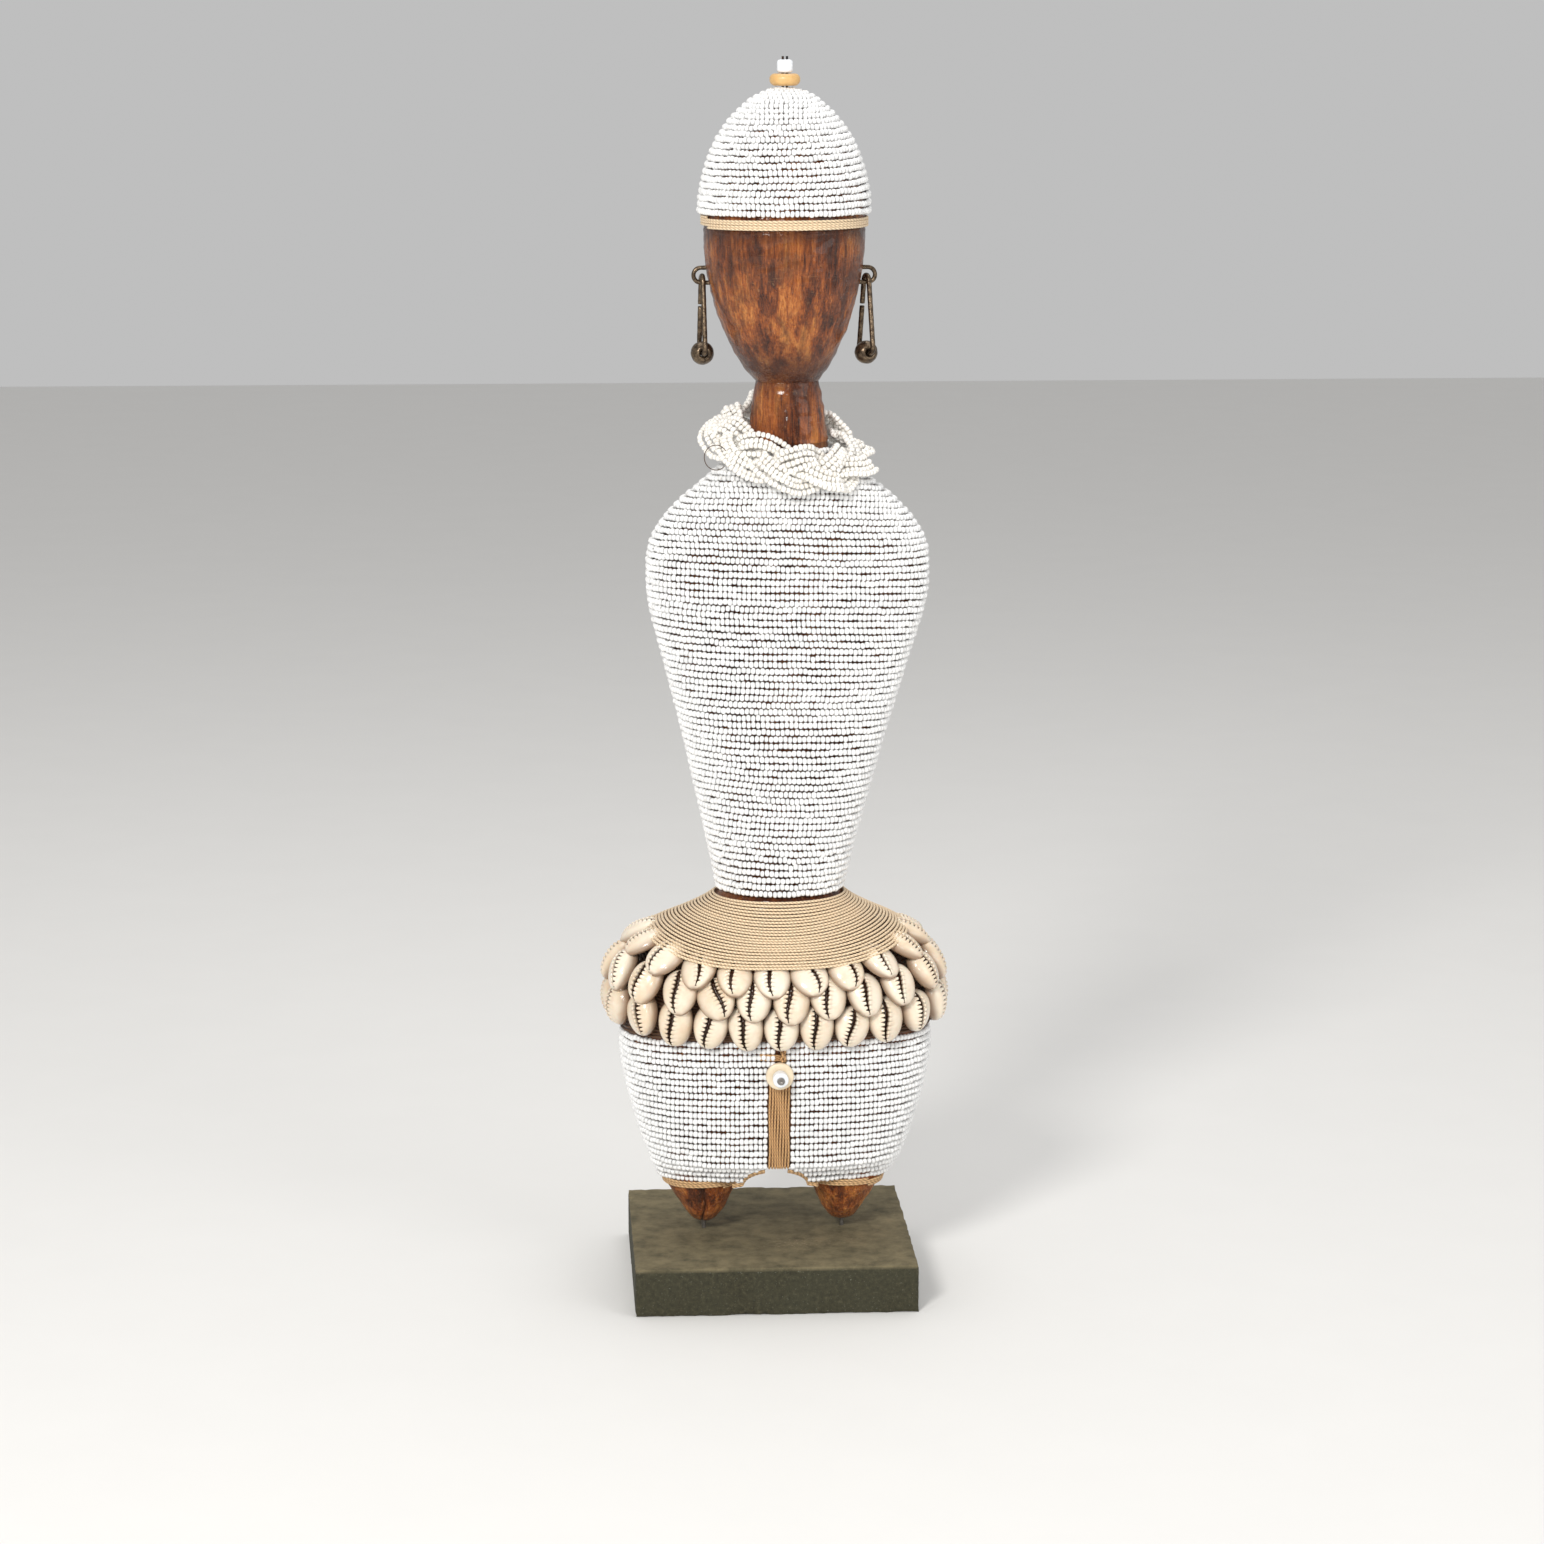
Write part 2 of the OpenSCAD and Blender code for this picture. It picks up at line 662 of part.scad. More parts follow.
function bundle_ring(k, j, p) =
    let (along = unit(bundle_middle(k, p + 1) - bundle_middle(k, p - 1)),
         out = unit(neck_out(p) - (neck_out(p) * along) * along),
         across = cross(along, out),
         turn = 360 * j / bundle_strands + 90,
         middle = bundle_middle(k, p) + strand_spread * (cos(turn) * out + sin(turn) * across))
    [for (i = [0:necklace_sides - 1])
        let (a = 360 * i / necklace_sides)
        middle + strand_r * (cos(a) * out - sin(a) * across)];

module necklace_bundle(k) {
    color("ivory")
        for (j = [0:bundle_strands - 1])
            polyhedron(
                points = flat_list([for (i = [0:necklace_steps - 1])
                    bundle_ring(k, j, 360 * i / necklace_steps)]),
                faces = side_faces(necklace_steps, necklace_sides, true));
}
module necklace_bundle_1() { necklace_bundle(0); }
module necklace_bundle_2() { necklace_bundle(1); }
module necklace_bundle_3() { necklace_bundle(2); }

stone_base();
mounting_pin_left();
mounting_pin_right();
carved_figure();
hip_bead_winding_left();
hip_bead_winding_right();
front_cord_strip();
back_cord_strip();
leg_cuff_left();
leg_cuff_right();
front_button_pin();
front_button_disc();
front_button_barrel();
shell_bed_cord();
cowries_lower_row();
cowries_middle_row();
cowries_upper_row();
waist_cord_skirt();
torso_bead_winding();
necklace_bundle_1();
necklace_bundle_2();
necklace_bundle_3();
cap_bead_winding();
cap_band_cord();
ear_staple_left();
ear_staple_right();
earring_hoop_left();
earring_hoop_right();
earring_bead_left();
earring_bead_right();
finial_wire();
finial_disc_bead();
finial_barrel_bead();
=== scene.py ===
import math

import bpy
import numpy as np
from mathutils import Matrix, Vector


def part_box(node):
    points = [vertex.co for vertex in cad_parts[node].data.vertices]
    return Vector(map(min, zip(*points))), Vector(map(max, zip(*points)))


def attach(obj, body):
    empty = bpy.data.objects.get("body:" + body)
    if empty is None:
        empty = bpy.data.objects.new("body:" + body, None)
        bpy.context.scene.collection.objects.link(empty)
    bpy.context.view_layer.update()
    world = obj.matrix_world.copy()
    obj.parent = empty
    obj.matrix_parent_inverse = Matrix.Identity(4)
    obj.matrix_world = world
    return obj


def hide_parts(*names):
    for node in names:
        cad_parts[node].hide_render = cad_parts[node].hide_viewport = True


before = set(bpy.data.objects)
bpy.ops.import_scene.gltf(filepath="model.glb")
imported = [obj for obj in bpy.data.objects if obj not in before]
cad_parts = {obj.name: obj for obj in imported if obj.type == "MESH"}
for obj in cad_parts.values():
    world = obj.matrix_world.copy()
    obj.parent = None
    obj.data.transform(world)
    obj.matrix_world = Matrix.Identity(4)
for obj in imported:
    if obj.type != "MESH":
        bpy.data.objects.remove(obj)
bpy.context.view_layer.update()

MM = 0.001
rng = np.random.default_rng(17)

# ---------------------------------------------------------------- driving sizes, in mm

BEAD_R = 1.44            # seed bead radius
HIP_BEAD_R = 1.38        # the hip beads leave more thread to be seen between rows
BEAD_LEN = 2.06          # seed bead pitch along its string
ROW_PITCH = 3.0          # from one row of beads to the next
CORD_R = 0.63            # plain cord
BAND_CORD_R = 0.62       # cord of the head band
CUFF_CORD_R = 0.6        # cord round the ankles
STRIP_CORD_R = 0.54      # upright cords of the strips
FEET_X, WAIST_X, TORSO_X, HEAD_X = -1, 2, 5.5, 4
STRIP_HALF = 4.7         # half-width of the cord strip between the hip beads
STRIP_CORDS = 8          # cords side by side in the strip
STRIP_TOP = 103          # the strip ends under the button
STRIP_DEPTH = 1.55       # from the skin of the hips to the middle of the strip's cords
ARCH_HALF, ARCH_LOW, ARCH_TOP = 14, 47, 56
SIDES = ((-1, "left"), (1, "right"))


def level(*rows):
    """Rows with the side and the front at one height."""
    return [[height, width, height, depth, square, middle] for height, width, depth, square, middle in rows]


# Rows of the outer surface, as the CAD model has them: height at the side, half-width,
# height at the front, half-depth, squareness, middle. Level rows give their height once.
HIP_ROWS = level(
    [56.5, 56.4, 29.5, 2.5, 0], [68, 60.8, 31, 2.5, 0], [78.5, 64, 32.2, 2.5, 0],
    [89, 66.8, 33.2, 2.5, 0], [103, 69.4, 34, 2.5, 0], [109.5, 69.8, 34.2, 2.5, 0],
    [114.6, 69.4, 34.4, 2.5, 0])
BED_ROWS = [
    [115.4, 69.2, 115.4, 34.8, 2.5, 0],
    [120, 69.2, 118.2, 35, 2.5, 0],
    [130, 68.4, 124, 35, 2.5, 0],
    [141, 64.8, 132, 33.8, 2.45, 0],
    [150, 58.3, 140, 31.3, 2.4, 0],
    [157, 51.3, 146.5, 28.3, 2.35, 0.3],
    [160.5, 46.8, 150.5, 26.3, 2.3, 0.5]]
SKIRT_ROWS = [
    [159.9, 58.4, 149.6, 40.9, 2.9, 0.5],
    [161.3, 58, 151, 40.7, 2.85, 0.5],
    [165.5, 51.3, 156.9, 36.2, 2.5, 0.8],
    [169.6, 42.6, 163.2, 31.4, 2.15, 1.2],
    [173.4, 34.5, 170.5, 27.4, 2.1, 1.6],
    [177.4, 28.4, 177.4, 25.2, 2.05, WAIST_X]]
TORSO_ROWS = [
    [178.4, 28.7, 178.4, 25.5, 2.05, WAIST_X],
    [190, 31, 190, 25.3, 2.1, 2.3],
    [203, 34, 203, 25, 2.15, 2.6],
    [230, 40.7, 230, 24.6, 2.25, 3.3],
    [254, 46.7, 254, 24.2, 2.35, 4],
    [280, 54, 280, 23.8, 2.4, 4.6],
    [302, 60.2, 302, 23.4, 2.45, 5.2],
    [315, 62, 315, 23, 2.45, TORSO_X],
    [326, 61.9, 326, 22.6, 2.45, TORSO_X],
    [334.5, 60, 335, 22, 2.4, TORSO_X],
    [343, 54.9, 344, 21, 2.35, TORSO_X],
    [351.5, 47.2, 353, 19.8, 2.25, TORSO_X],
    [360.5, 36.3, 362, 18.6, 2.15, TORSO_X],
    [367.5, 28.6, 369, 17.7, 2.05, TORSO_X],
    [374.6, 19.6, 374.6, 16.9, 2, TORSO_X]]
NECK_ROWS = level(
    [379, 17, 13.6, 2, TORSO_X], [388, 15.9, 13.3, 2, 5.4], [397, 14.6, 12.9, 2, 5.3],
    [402, 13.5, 12.6, 2, 5.2], [402.8, 14.2, 13.4, 2, 5.1], [407, 17.8, 16.8, 2.05, 4.8],
    [414.5, 22.2, 20.8, 2.1, 4.5], [423.5, 26.3, 24.4, 2.1, 4.3], [432, 29.4, 27.2, 2.1, HEAD_X],
    [441.5, 32, 29.5, 2.1, HEAD_X], [450, 33.6, 30.9, 2.1, HEAD_X], [458.5, 34.5, 31.7, 2.1, HEAD_X],
    [467, 34.9, 32.1, 2.1, HEAD_X])
BAND_ROWS = level(
    [468, 36.2, 33.3, 2.1, HEAD_X], [473.3, 36.2, 33.3, 2.1, HEAD_X])
CAP_ROWS = level(
    [473.8, 37.7, 34.7, 2.1, HEAD_X], [481, 37.3, 34.3, 2.1, HEAD_X], [489, 36, 33.1, 2.1, HEAD_X],
    [498.5, 33.1, 30.5, 2.05, HEAD_X], [506, 29.6, 27.3, 2, HEAD_X], [513, 24.9, 22.9, 2, HEAD_X],
    [519, 19.3, 17.8, 2, HEAD_X], [523.5, 13.6, 12.6, 2, HEAD_X], [526.3, 7.6, 7.2, 2, HEAD_X],
    [527.3, 2.6, 2.6, 2, HEAD_X])
# Both legs together, under the hips
LEGS_ROWS = level(
    [47, 51.6, 20.3, 2.6, -1], [50, 53.2, 22.6, 2.6, -0.8], [53, 54.9, 25.6, 2.55, -0.5],
    [56.5, 56.5, 28.8, 2.5, -0.2], [60, 57.6, 30, 2.5, 0])
# Legs: the middle is given from the line between the feet
LEG_WOOD_ROWS = level(
    [26, 3.8, 4.2, 2, 31], [27.2, 5.7, 6.3, 2, 31], [29.5, 7.5, 8.3, 2, 31], [33, 9.8, 10.8, 2, 31],
    [44, 15.5, 16.6, 2.15, 32.2], [48.2, 15.9, 17, 2.25, 32.8], [50.4, 16.3, 17.3, 2.3, 32.9],
    [57.5, 21.3, 21.9, 2.3, 31], [64, 24.6, 25.1, 2.3, 29.8])
CUFF_ROWS = level(
    [44.2, 17.2, 18.3, 2.2, 32.2], [48.2, 17.8, 18.9, 2.25, 32.8])

# ---------------------------------------------------------------- camera, light and floor


def make_camera():
    """Eye level a little above the doll's head, a long lens, looking slightly down."""
    distance, eye, azimuth, pitch = 1760, 577.5, math.radians(-3.5), math.radians(11.18)
    aside = 1.3
    data = bpy.data.cameras.new("camera")
    data.sensor_width = 36
    data.lens = 95.06
    data.clip_end = 50
    camera = bpy.data.objects.new("camera", data)
    camera.location = (distance * math.sin(azimuth) * MM, -distance * math.cos(azimuth) * MM, eye * MM)
    camera.rotation_euler = (math.pi / 2 - pitch, 0, azimuth + aside / distance)
    bpy.context.collection.objects.link(camera)
    bpy.context.scene.camera = camera


def area_light(name, place, target, size, power, colour):
    data = bpy.data.lights.new(name, "AREA")
    data.shape = "DISK"
    data.size = size
    data.energy = power
    data.color = colour
    light = bpy.data.objects.new(name, data)
    light.location = place
    direction = np.array(target) - np.array(place)
    flat = math.hypot(direction[0], direction[1])
    light.rotation_euler = (math.atan2(flat, -direction[2]), 0,
                            math.atan2(direction[1], direction[0]) - math.pi / 2)
    bpy.context.collection.objects.link(light)


def make_studio():
    middle = (0, 0, 0.28)
    area_light("key_light", (-0.8, -1.7, 1.35), middle, 0.5, 30, (1, 0.985, 0.955))
    area_light("front_light", (-0.15, -2.3, 0.75), middle, 0.2, 5.5, (1, 0.99, 0.97))
    area_light("fill_light", (1.3, -1.3, 0.75), middle, 1.2, 8, (1, 0.99, 0.98))
    area_light("top_light", (0.1, 0.3, 1.7), middle, 1.3, 8, (1, 1, 1))
    world = bpy.data.worlds.new("studio")
    world.use_nodes = True
    world.node_tree.nodes["Background"].inputs["Color"].default_value = (1, 1, 1, 1)
    world.node_tree.nodes["Background"].inputs["Strength"].default_value = 0.52
    bpy.context.scene.world = world
    bpy.context.scene.view_settings.view_transform = "Standard"
    bpy.ops.mesh.primitive_plane_add(size=8, location=(0, 0, 0))
    floor = bpy.context.object
    floor.name = "studio_floor"
    floor.data.materials.append(plain_material("floor_pale", (0.8, 0.79, 0.77), 0.7))


# ---------------------------------------------------------------- materials


class Shader:
    """A Principled material with a few short ways to build its nodes."""

    def __init__(self, name):
        self.material = bpy.data.materials.new(name)
        self.material.use_nodes = True
        self.tree = self.material.node_tree
        self.surface = self.tree.nodes["Principled BSDF"]

    def node(self, kind, settings=(), **inputs):
        made = self.tree.nodes.new(kind)
        for key, value in dict(settings).items():
            setattr(made, key, value)
        for key, value in inputs.items():
            self.set(made.inputs[key.replace("_", " ")], value)
        return made

    def set(self, socket, value):
        if isinstance(value, bpy.types.NodeSocket):
            self.tree.links.new(value, socket)
        else:
            socket.default_value = value

    def place(self, scale=(1, 1, 1)):
        """Object coordinates in millimetres, stretched by scale."""
        coordinates = self.node("ShaderNodeTexCoord")
        mapping = self.node("ShaderNodeMapping", Vector=coordinates.outputs["Object"])
        mapping.inputs["Scale"].default_value = [1000 * s for s in scale]
        return mapping.outputs["Vector"]

    def noise(self, where, scale, detail=3, roughness=0.55, distortion=0.0):
        return self.node("ShaderNodeTexNoise", Vector=where, Scale=scale, Detail=detail,
                         Roughness=roughness, Distortion=distortion).outputs["Fac"]

    def ramp(self, value, stops):
        """Greys or colours at places from 0 to 1."""
        made = self.node("ShaderNodeValToRGB", Fac=value)
        elements = made.color_ramp.elements
        while len(elements) < len(stops):
            elements.new(0.5)
        for element, (position, colour) in zip(elements, stops):
            element.position = position
            grey = isinstance(colour, (int, float))
            element.color = (colour, colour, colour, 1) if grey else (*colour, 1)
        return made.outputs["Color"]

    def patches(self, where, scale, detail, low, high, top=1.0, roughness=0.55):
        """Noise cut to patches: 0 under low, rising to top at high."""
        return self.ramp(self.noise(where, scale, detail, roughness), [(low, 0.0), (high, top)])

    def mix(self, amount, first, second):
        made = self.node("ShaderNodeMix", settings={"data_type": "RGBA"})
        for socket, value in zip((made.inputs[0], made.inputs[6], made.inputs[7]), (amount, first, second)):
            if isinstance(value, tuple) and len(value) == 3:
                value = (*value, 1)
            self.set(socket, value)
        return made.outputs[2]

    def attribute(self, name):
        return self.node("ShaderNodeAttribute", settings={"attribute_name": name}).outputs["Fac"]

    def math(self, operation, first, second):
        made = self.node("ShaderNodeMath", settings={"operation": operation})
        self.set(made.inputs[0], first)
        self.set(made.inputs[1], second)
        return made.outputs[0]

    def times(self, first, second):
        return self.math("MULTIPLY", first, second)

    def plus(self, first, second):
        return self.math("ADD", first, second)

    def bump(self, height, strength, distance_mm):
        made = self.node("ShaderNodeBump", Height=height, Strength=strength, Distance=distance_mm * MM)
        self.set(self.surface.inputs["Normal"], made.outputs["Normal"])

    def finish(self, colour, roughness, **constants):
        self.set(self.surface.inputs["Base Color"], colour)
        self.set(self.surface.inputs["Roughness"], roughness)
        for key, value in constants.items():
            self.surface.inputs[key.replace("_", " ")].default_value = value
        return self.material


def plain_material(name, colour, roughness):
    shader = Shader(name)
    grain = shader.noise(shader.place(), 0.02)
    return shader.finish(shader.mix(grain, colour, tuple(c * 0.97 for c in colour)), roughness)


def bead_material(name, light, shade, dust):
    """Opaque glass beads: each bead has its own tone, with grime where the noise gathers."""
    shader = Shader(name)
    where = shader.place()
    colour = shader.mix(shader.attribute("tone"), shade, light)
    grime = shader.patches(where, 0.9, 4, 0.56, 0.74)
    colour = shader.mix(shader.times(grime, 0.35), colour, dust)
    rough = shader.ramp(shader.noise(where, 1.6, 2), [(0.3, 0.16), (0.8, 0.34)])
    shader.bump(shader.noise(where, 1.4, 2), 0.12, 0.15)
    return shader.finish(colour, rough, Specular_IOR_Level=0.55, Coat_Weight=0.25, Coat_Roughness=0.12)


def cord_material(name, light, dark, deep):
    """Twisted plant-fibre cord: fibre tone, painted shade in the hollows between the plies from the
    tone along the ply, fine hairs as bump.
    """
    shader = Shader(name)
    fibre = shader.noise(shader.place((1, 1, 3)), 3.2, 5, 0.65)
    colour = shader.mix(shader.ramp(fibre, [(0.3, 0.0), (0.7, 1.0)]), dark, light)
    dull = shader.patches(shader.place(), 0.12, 3, 0.4, 0.8, 0.35)
    colour = shader.mix(dull, colour, tuple(c * 0.8 for c in light))
    # painted shade: the ply tone mixes to the deep colour in the hollows between the plies
    ply = shader.ramp(shader.attribute("tone"), [(0.0, 0.0), (0.8, 1.0)])
    colour = shader.mix(ply, deep, colour)
    shader.bump(fibre, 0.5, 0.2)
    return shader.finish(colour, 0.78, Specular_IOR_Level=0.25, Sheen_Weight=0.15)


def wood_material():
    """Reddish-brown carved wood under varnish: upright zones and grain, dark stain, worn orange
    edges, glossy chips, fine scratches and painted shade from the tone attribute."""
    shader = Shader("carved_wood_varnished")
    zones = shader.noise(shader.place((1, 1, 0.22)), 0.075, 3, 0.5, 0.4)
    grain = shader.noise(shader.place((1, 1, 0.10)), 0.34, 6, 0.62, 0.5)
    fine = shader.noise(shader.place((1, 1, 0.07)), 1.7, 4, 0.6, 0.1)
    detail = shader.plus(shader.times(grain, 0.36), shader.times(fine, 0.24))
    mixed = shader.plus(shader.times(zones, 0.4), detail)
    colour = shader.ramp(mixed, [(0.40, (0.040, 0.010, 0.004)), (0.46, (0.20, 0.046, 0.010)),
                                 (0.52, (0.47, 0.125, 0.024)), (0.61, (0.84, 0.32, 0.075))])
    blots = shader.noise(shader.place((1, 1, 0.4)), 0.13, 5, 0.65, 0.3)
    stain = shader.ramp(blots, [(0.48, 0.0), (0.62, 1.0)])
    colour = shader.mix(shader.times(stain, 0.65), colour, (0.065, 0.020, 0.009))
    scratches = shader.patches(shader.place((0.12, 0.12, 1)), 1.2, 4, 0.6, 0.7, roughness=0.6)
    colour = shader.mix(shader.times(scratches, 0.2), colour, (0.62, 0.29, 0.11))
    # painted shade from the tone attribute: neck joint, under the cap, toes, head sides, under the beads,
    # split foot
    colour = shader.mix(shader.times(shader.attribute("tone"), 0.85), colour, (0.050, 0.012, 0.004))
    chips = shader.noise(shader.place((1, 1, 0.7)), 0.55, 6, 0.72)
    flakes = shader.ramp(chips, [(0.6, 0.0), (0.68, 1.0)])
    colour = shader.mix(shader.times(flakes, 0.45), colour, (0.60, 0.30, 0.13))
    rough = shader.ramp(chips, [(0.35, 0.24), (0.7, 0.46)])
    shader.bump(shader.plus(chips, shader.times(grain, 0.5)), 1.0, 3.4)
    return shader.finish(colour, rough, Specular_IOR_Level=0.35, Coat_Weight=0.4, Coat_Roughness=0.12)


def cowrie_material():
    """Polished shell: cream back, pinker flanks, painted shade in the slit between the toothed lips and at
    the rim.
    """
    shader = Shader("cowrie_shell")
    where = shader.place()
    colour = shader.mix(shader.attribute("tone"), (0.70, 0.55, 0.38), (0.86, 0.76, 0.61))
    bands = shader.patches(where, 0.16, 3, 0.35, 0.7, 0.55)
    colour = shader.mix(bands, colour, (0.87, 0.79, 0.67))
    blush = shader.patches(where, 0.28, 2, 0.5, 0.8, 0.4)
    colour = shader.mix(blush, colour, (0.72, 0.50, 0.36))
    # painted shade round the rim, where the shell turns under
    colour = shader.mix(shader.times(shader.attribute("rim"), 0.85), colour, (0.22, 0.12, 0.065))
    # painted shade in the slit and in the grooves between the teeth
    slit = shader.ramp(shader.attribute("slit"), [(0.06, 0.0), (0.3, 0.45), (0.55, 1.0)])
    colour = shader.mix(slit, colour, (0.050, 0.022, 0.011))
    shader.bump(shader.noise(where, 0.8, 3), 0.12, 0.3)
    return shader.finish(colour, 0.22, Specular_IOR_Level=0.5, Coat_Weight=0.35, Coat_Roughness=0.08,
                         Subsurface_Weight=0.06, Subsurface_Scale=0.002)


def bronze_material():
    """Dark aged wire with worn brown highlights."""
    shader = Shader("dark_bronze_wire")
    where = shader.place()
    wear = shader.patches(where, 0.6, 5, 0.38, 0.7, roughness=0.65)
    colour = shader.mix(wear, (0.055, 0.038, 0.026), (0.23, 0.165, 0.105))
    rough = shader.ramp(shader.noise(where, 1.1, 4), [(0.3, 0.22), (0.75, 0.5)])
    shader.bump(shader.noise(where, 1.3, 4), 0.35, 0.25)
    return shader.finish(colour, rough, Metallic=0.85)


def iron_material():
    shader = Shader("black_iron_wire")
    where = shader.place()
    rust = shader.patches(where, 1.3, 4, 0.5, 0.75)
    colour = shader.mix(rust, (0.02, 0.02, 0.022), (0.12, 0.055, 0.03))
    shader.bump(shader.noise(where, 2.5, 3), 0.3, 0.12)
    return shader.finish(colour, 0.42, Metallic=0.7)


def steel_material():
    shader = Shader("dull_pin_steel")
    colour = shader.mix(shader.noise(shader.place(), 1.5, 4), (0.10, 0.095, 0.09), (0.36, 0.34, 0.32))
    shader.bump(shader.noise(shader.place((1, 1, 0.2)), 4.0, 3), 0.25, 0.08)
    return shader.finish(colour, 0.38, Metallic=0.9)


def stone_material():
    """Sawn dark olive-grey stone: fine mineral grain, pale specks and a film of brown dust on top."""
    shader = Shader("olive_grey_stone")
    where = shader.place()
    body = shader.ramp(shader.noise(where, 0.5, 8, 0.7), [(0.3, (0.016, 0.015, 0.008)),
                       (0.55, (0.040, 0.036, 0.019)), (0.8, (0.10, 0.09, 0.052))])
    colour = shader.mix(shader.patches(where, 0.035, 4, 0.3, 0.75, 0.5), body, (0.050, 0.050, 0.031))
    specks = shader.patches(where, 0.8, 5, 0.62, 0.66, roughness=0.85)
    colour = shader.mix(shader.times(specks, 0.6), colour, (0.36, 0.37, 0.30))
    film = shader.ramp(shader.noise(where, 0.09, 6, 0.7), [(0.32, 0.25), (0.62, 0.95)])
    colour = shader.mix(shader.times(shader.attribute("tone"), film), colour, (0.205, 0.168, 0.095))
    grains = shader.patches(where, 0.55, 6, 0.52, 0.66, roughness=0.8)
    colour = shader.mix(shader.times(shader.attribute("spill"), grains), colour, (0.33, 0.25, 0.155))
    shader.bump(shader.noise(where, 0.9, 6, 0.75), 0.4, 0.4)
    return shader.finish(colour, 0.82, Specular_IOR_Level=0.3)


def disc_material(name, light, shade, roughness):
    """Turned shell or bone disc with faint growth rings."""
    shader = Shader(name)
    where = shader.place()
    colour = shader.mix(shader.noise(where, 0.35, 4), shade, light)
    spots = shader.patches(where, 1.3, 3, 0.62, 0.78, 0.6)
    colour = shader.mix(spots, colour, tuple(c * 0.62 for c in shade))
    shader.bump(shader.noise(where, 1.1, 4), 0.25, 0.2)
    return shader.finish(colour, roughness, Coat_Weight=0.2, Coat_Roughness=0.2)


# ---------------------------------------------------------------- geometry helpers

NORMAL_Y = np.array([0.0, 1.0, 0.0])     # side of a wire that lies in the doll's own plane


def unit(v):
    return v / np.linalg.norm(v, axis=-1, keepdims=True)


def new_piece(name, verts, faces, material, body, nodes, slot, tone=None, extra=None, smooth=True):
    """A mesh from millimetre points and quads or triangles, riding on a body in place of CAD nodes."""
    mesh = bpy.data.meshes.new(name)
    groups = faces if isinstance(faces, list) else [faces]
    groups = [np.asarray(g, dtype=np.int32) for g in groups if len(g)]
    corners = np.concatenate([g.ravel() for g in groups])
    sizes = np.concatenate([np.full(len(g), g.shape[1], dtype=np.int32) for g in groups])
    starts = np.concatenate([[0], np.cumsum(sizes)[:-1]]).astype(np.int32)
    mesh.vertices.add(len(verts))
    mesh.vertices.foreach_set("co", (np.asarray(verts) * MM).astype(np.float32).ravel())
    mesh.loops.add(len(corners))
    mesh.loops.foreach_set("vertex_index", corners)
    mesh.polygons.add(len(sizes))
    mesh.polygons.foreach_set("loop_start", starts)
    mesh.polygons.foreach_set("use_smooth", np.full(len(sizes), smooth))
    mesh.update(calc_edges=True)
    mesh.validate()
    for label, values in {"tone": tone, **(extra or {})}.items():
        if values is not None:
            layer = mesh.attributes.new(label, "FLOAT", "POINT")
            layer.data.foreach_set("value", np.asarray(values, dtype=np.float32))
    piece = bpy.data.objects.new(name, mesh)
    bpy.context.collection.objects.link(piece)
    mesh.materials.append(material)
    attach(piece, body)
    if nodes:
        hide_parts(*nodes)
    return piece


def travelled(path):
    """Distance along a path at each of its points."""
    return np.concatenate([[0], np.cumsum(np.linalg.norm(np.diff(path, axis=0), axis=1))])


def at_distance(at, run, values):
    """Points or directions of a path at distances along it."""
    return np.stack([np.interp(at, run, values[:, k]) for k in range(3)], -1)


def oval(a, width, depth, square):
    """A point at angle a on an oval; squareness 2 is an ellipse and more is boxier."""
    c, d = np.cos(a), np.sin(a)
    return width * np.sign(c) * np.abs(c) ** (2 / square), depth * np.sign(d) * np.abs(d) ** (2 / square)


def by_angle(a, side, front):
    """Blends a value at the side of a form into its value at the front and back."""
    return side * np.cos(a) * np.cos(a) + front * np.sin(a) * np.sin(a)


def grid_faces(rows, columns, around=True, joined=False, flip=False):
    """Quads over a grid of points: around closes each row, joined closes the last row to the first."""
    i = np.arange(rows if joined else rows - 1)[:, None]
    k = np.arange(columns if around else columns - 1)[None]
    j, n = (i + 1) % rows, (k + 1) % columns
    corners = [i * columns + k, i * columns + n, j * columns + n, j * columns + k]
    if flip:
        corners[1], corners[3] = corners[3], corners[1]
    return np.stack(corners, -1).reshape(-1, 4)


def end_fans(rows, columns):
    """Triangles from a point in the middle of the first and last ring, numbered after the grid's points."""
    ring = np.arange(columns)
    after, top = (ring + 1) % columns, (rows - 1) * columns
    low = np.full(columns, rows * columns)
    return np.stack([low, ring, after], -1), np.stack([low + 1, top + after, top + ring], -1)


def catmull(values, at):
    """Smooth curve through the values at whole numbers."""
    count = len(values)
    padded = np.concatenate([[2 * values[0] - values[1]], values, [2 * values[-1] - values[-2]]])
    i = np.clip(np.floor(at).astype(int), 0, count - 2)
    f = at - i
    a, b, c, d = (padded[i + k] for k in range(4))
    bent = (2 * a - 5 * b + 4 * c - d) * f ** 2 + (3 * b - a - 3 * c + d) * f ** 3
    return 0.5 * (2 * b + (c - a) * f + bent)


